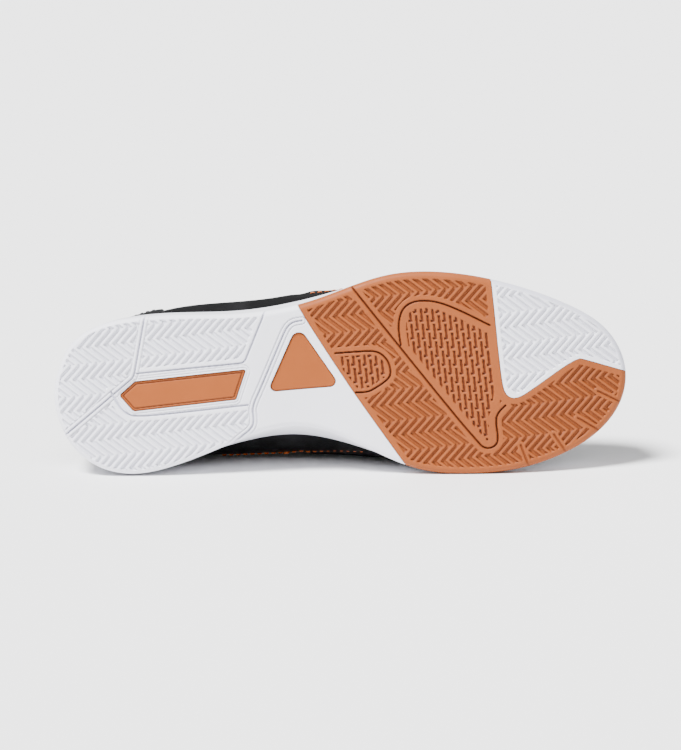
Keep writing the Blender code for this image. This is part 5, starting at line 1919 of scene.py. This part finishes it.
@dataclass
class Tongue:
    """Padded tongue of mesh cloth under the throat."""

    shop: Workshop
    thickness: float = 0.0045
    drop: float = 0.0042
    rows: int = 90
    columns: int = 34

    def under_upper(self, points: Array) -> Array:
        """Moves points inwards where they lie closer than a gap under the upper's lining."""
        last = self.shop.last
        ring, share = np.meshgrid(np.linspace(0.38, 1.62, 249), np.linspace(0.70, 1.0, 13))
        ring = ring.ravel()
        share = share.ravel()
        face = last.surface(ring, share)
        normal = last.surface_normal(ring, share)
        wall = last.wall_at(ring, share)
        near = np.concatenate([
            np.argmin(((part[:, None, :] - face) ** 2).sum(axis=2), axis=1)
            for part in np.array_split(points, 8)
        ])
        depth = ((face[near] - points) * normal[near]).sum(axis=1)
        push = np.maximum(0.0, wall[near] + 3.0 * last.gap - depth) * (share[near] < 1.0)
        return points - normal[near] * push[:, None]

    def build(self) -> None:
        """Builds the tongue: a sheet on the instep, thick in its middle, with rounded edges.

        Across the tongue its thickness follows the fourth root of 1 - t to the eighth, and
        low quilted channels run along it.
        """
        last = self.shop.last
        along = np.linspace(TONGUE_WIDTHS[0].along, TONGUE_WIDTHS[-1].along, self.rows)
        half = natural_spline(
            [row.along for row in TONGUE_WIDTHS], [row.half for row in TONGUE_WIDTHS], along
        )[:, 0] * last.ball_width
        across = np.sin(np.linspace(-math.pi / 2.0, math.pi / 2.0, self.columns))
        x = np.repeat(along[:, None] * last.length, self.columns, axis=1)
        y = last.crest(x)[0] + across * half[:, None]
        drop = last.wall + 3.0 * last.gap + self.drop * np.abs(across) ** 3
        top = np.stack((x, y, last.instep(x, y) - drop), axis=-1)
        top = self.under_upper(top.reshape(-1, 3)).reshape(top.shape)
        normal = grid_normals(top, wrap=False)
        if normal[..., 2].mean() < 0.0:
            normal = -normal
        end = np.minimum(along - along[0], along[-1] - along)[:, None] / 0.012
        round_end = np.sqrt(np.clip(end * (2.0 - np.minimum(end, 1.0)), 0.0, 1.0))
        round_side = np.maximum(0.0, 1.0 - np.abs(across) ** 8) ** 0.25
        plump = (round_end * round_side)[..., None]
        channel = 0.0005 * np.exp(-((np.mod(y / last.ball_width * 9.0, 1.0) - 0.5) / 0.10) ** 2)
        channel = channel * soft_step(0.46, 0.40, x / last.length)
        middle = top - normal * self.thickness / 2.0
        outer = middle + normal * (self.thickness / 2.0 * plump - channel[..., None] * plump)
        inner = middle - normal * (self.thickness / 2.0 * plump)
        points, faces = slab(outer, inner)
        uv = np.tile(np.stack((x, y), axis=-1).reshape(-1, 2), (2, 1))
        tongue = self.shop.piece(
            "tongue_pad", points, faces, "tongue", "tongue", ("tongue",), uv=uv
        )


@dataclass
class Lace:
    """Flat lace that crosses the tongue from eyelet to eyelet."""

    shop: Workshop
    width: float = 0.0060
    thickness: float = 0.0013
    lift: float = 0.0034
    dive: float = 0.0045
    steps: int = 44

    def run(self, start: Array, end: Array, bump: float) -> tuple[Array, Faces, Array]:
        """One run of lace over the instep, which turns down into the eyelet at both ends.

        Its section is a flattened oval that narrows to pass the eyelets.

        Args:
            start: Flat place of the first eyelet.
            end: Flat place of the second.
            bump: How much higher its middle lies, to pass over another run.

        Returns:
            Points, faces and flat cloth places.
        """
        last = self.shop.last
        share = np.linspace(0.0, 1.0, self.steps)
        x = start[0] + (end[0] - start[0]) * share
        y = start[1] + (end[1] - start[1]) * share
        span = np.linalg.norm(end - start)
        away = np.minimum(share, 1.0 - share) * span
        down = self.dive * np.exp(-((away / 0.0016) ** 2)) + 0.0008 * np.exp(-((away / 0.006) ** 2))
        height = last.instep(x, y) + self.lift + bump * np.sin(math.pi * share) ** 4 - down
        line = np.column_stack((x, y, height))
        way = unit(np.gradient(line, axis=0))
        flat_way = unit(np.array((end[0] - start[0], end[1] - start[1])))
        beside = np.array((-flat_way[1], flat_way[0], 0.0))
        slope = (last.instep(x + beside[0] * 0.001, y + beside[1] * 0.001) - last.instep(x, y)) / 0.001
        beside = unit(np.column_stack((np.tile(beside[0:2], (len(x), 1)), slope)))
        up = unit(np.cross(way, beside))
        up = np.where(up[:, 2:3] < 0.0, -up, up)
        narrow = 0.55 + 0.45 * soft_step(0.0008, 0.0055, away)
        angle = np.linspace(0.0, 2.0 * math.pi, 12, endpoint=False)
        oval_side = np.sign(np.cos(angle)) * np.abs(np.cos(angle)) ** 0.6
        oval_up = np.sign(np.sin(angle)) * np.abs(np.sin(angle)) ** 0.8
        ring = (
            line[:, None, :]
            + beside[:, None, :] * (narrow[:, None] * oval_side * self.width / 2.0)[..., None]
            + up[:, None, :] * (oval_up * self.thickness / 2.0)[None, :, None]
        )
        points = ring.reshape(-1, 3)
        faces = lattice(len(ring), 12, wrap=True)
        caps = np.array([[0, 1, 2, 3], [0, 3, 4, 5], [0, 5, 6, 7], [0, 7, 8, 9], [0, 9, 10, 11]])
        far = caps[:, ::-1] + 12 * (len(ring) - 1)
        faces = outward_faces(points, np.vstack((faces, caps, far)))
        length = np.concatenate(((0.0,), np.cumsum(np.linalg.norm(np.diff(line, axis=0), axis=1))))
        uv = np.stack(
            (np.repeat(length[:, None], 12, axis=1), np.tile(oval_side * self.width / 2.0, (len(ring), 1))),
            axis=-1,
        ).reshape(-1, 2)
        return points, faces, uv

    def build(self) -> None:
        """Builds a straight bar at the first eyelets and a crossing above each pair."""
        holes = self.shop.last.eyelets()
        bar = self.run(holes[0, [0, 1]], holes[0, [0, 2]], 0.0)
        self.shop.piece("lace_bar", bar[0], bar[1], "lace", "lace", uv=bar[2])
        for pair in range(len(holes) - 1):
            runs = (
                self.run(holes[pair, [0, 1]], holes[pair + 1, [0, 2]], 0.0004),
                self.run(holes[pair, [0, 2]], holes[pair + 1, [0, 1]], 0.0004 + self.thickness),
            )
            points = np.vstack([run[0] for run in runs])
            faces = np.vstack((runs[0][1], runs[1][1] + len(runs[0][0])))
            uv = np.vstack([run[2] for run in runs])
            name = f"lace_cross_{pair + 1}"
            self.shop.piece(f"{name}_woven", points, faces, "lace", "lace", (name,), uv=uv)


@dataclass
class Studio:
    """Pale floor, soft lights and a camera at the photograph's angle."""

    shop: Workshop
    elevation: float = 12.0
    distance: float = 2.2
    metres_per_pixel: float = 0.000521
    centre_along: float = 0.14974
    centre_across: float = -0.0076
    picture_height: float = 750.0
    sensor: float = 36.0

    def build_floor(self) -> None:
        """A wide floor under the shoe."""
        mesh = bpy.data.meshes.new("studio_floor")
        reach = 8.0
        corners = [(-reach, -reach, 0.0), (reach, -reach, 0.0), (reach, reach, 0.0), (-reach, reach, 0.0)]
        mesh.from_pydata(corners, [], [(0, 1, 2, 3)])
        mesh.materials.append(FloorFinish().build())
        floor = bpy.data.objects.new("studio_floor", mesh)
        bpy.context.scene.collection.objects.link(floor)

    def build_sun(self, name: str, towards: Sequence[float], spread: float, power: float) -> None:
        """A soft distant light.

        Args:
            name: The light's name.
            towards: The way from the shoe to the light.
            spread: How wide the light looks, in degrees.
            power: Its strength.
        """
        data = bpy.data.lights.new(name, "SUN")
        data.angle = math.radians(spread)
        data.energy = power
        light = bpy.data.objects.new(name, data)
        light.rotation_euler = Vector(towards).to_track_quat("Z", "Y").to_euler()
        bpy.context.scene.collection.objects.link(light)

    def build_camera(self) -> None:
        """A long lens whose picture puts the sole where the photograph has it.

        The picture's right is the sole's long axis, seen square to the line of sight.
        """
        last = self.shop.last
        target = self.shop.placement.to_row(
            np.array((self.centre_along, self.centre_across, 0.0))
        )
        rise = math.radians(self.elevation)
        back = np.array((0.0, -math.cos(rise), math.sin(rise)))
        ahead = self.shop.placement.axes[0]
        right = unit(ahead - back * (ahead @ back))
        up = np.cross(back, right)
        data = bpy.data.cameras.new("camera")
        pixels = self.distance / self.metres_per_pixel
        data.sensor_width = self.sensor
        data.lens = pixels * self.sensor / self.picture_height
        data.clip_end = 50.0
        camera = bpy.data.objects.new("camera", data)
        turn = np.eye(4)
        turn[0:3, 0:3] = np.column_stack((right, up, back))
        turn[0:3, 3] = target + back * self.distance
        camera.matrix_world = Matrix(turn.tolist())
        bpy.context.scene.collection.objects.link(camera)
        bpy.context.scene.camera = camera
        LOG.info("camera %s mm, length %s", round(data.lens, 1), last.length)

    def build(self) -> None:
        """Builds floor, lights, pale surroundings and camera."""
        self.build_floor()
        self.build_sun("key", (-0.39, -0.33, 0.86), 20.0, 11.4)
        self.build_sun("back", (0.50, 0.70, 0.60), 40.0, 1.0)
        world = bpy.data.worlds.new("studio_air")
        world.use_nodes = True
        world.node_tree.nodes["Background"].inputs["Color"].default_value = (1.0, 1.0, 1.0, 1.0)
        world.node_tree.nodes["Background"].inputs["Strength"].default_value = 0.5
        bpy.context.scene.world = world
        self.build_camera()


def main() -> None:
    """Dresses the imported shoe: sole, upper, tongue, lace and studio in order."""
    logging.basicConfig(level=logging.INFO, format="%(message)s")
    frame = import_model()
    last = Last()
    placement = Placement.from_mounts(frame["record"]["mounts"], last)
    shop = Workshop(last, placement, Wardrobe())
    Studio(shop).build()
    Tread(shop).build()
    midsole = Midsole(shop)
    midsole.build()
    midsole.build_insole()
    Upper(shop).build()
    Tongue(shop).build()
    Lace(shop).build()


if __name__ == "__main__":
    main()
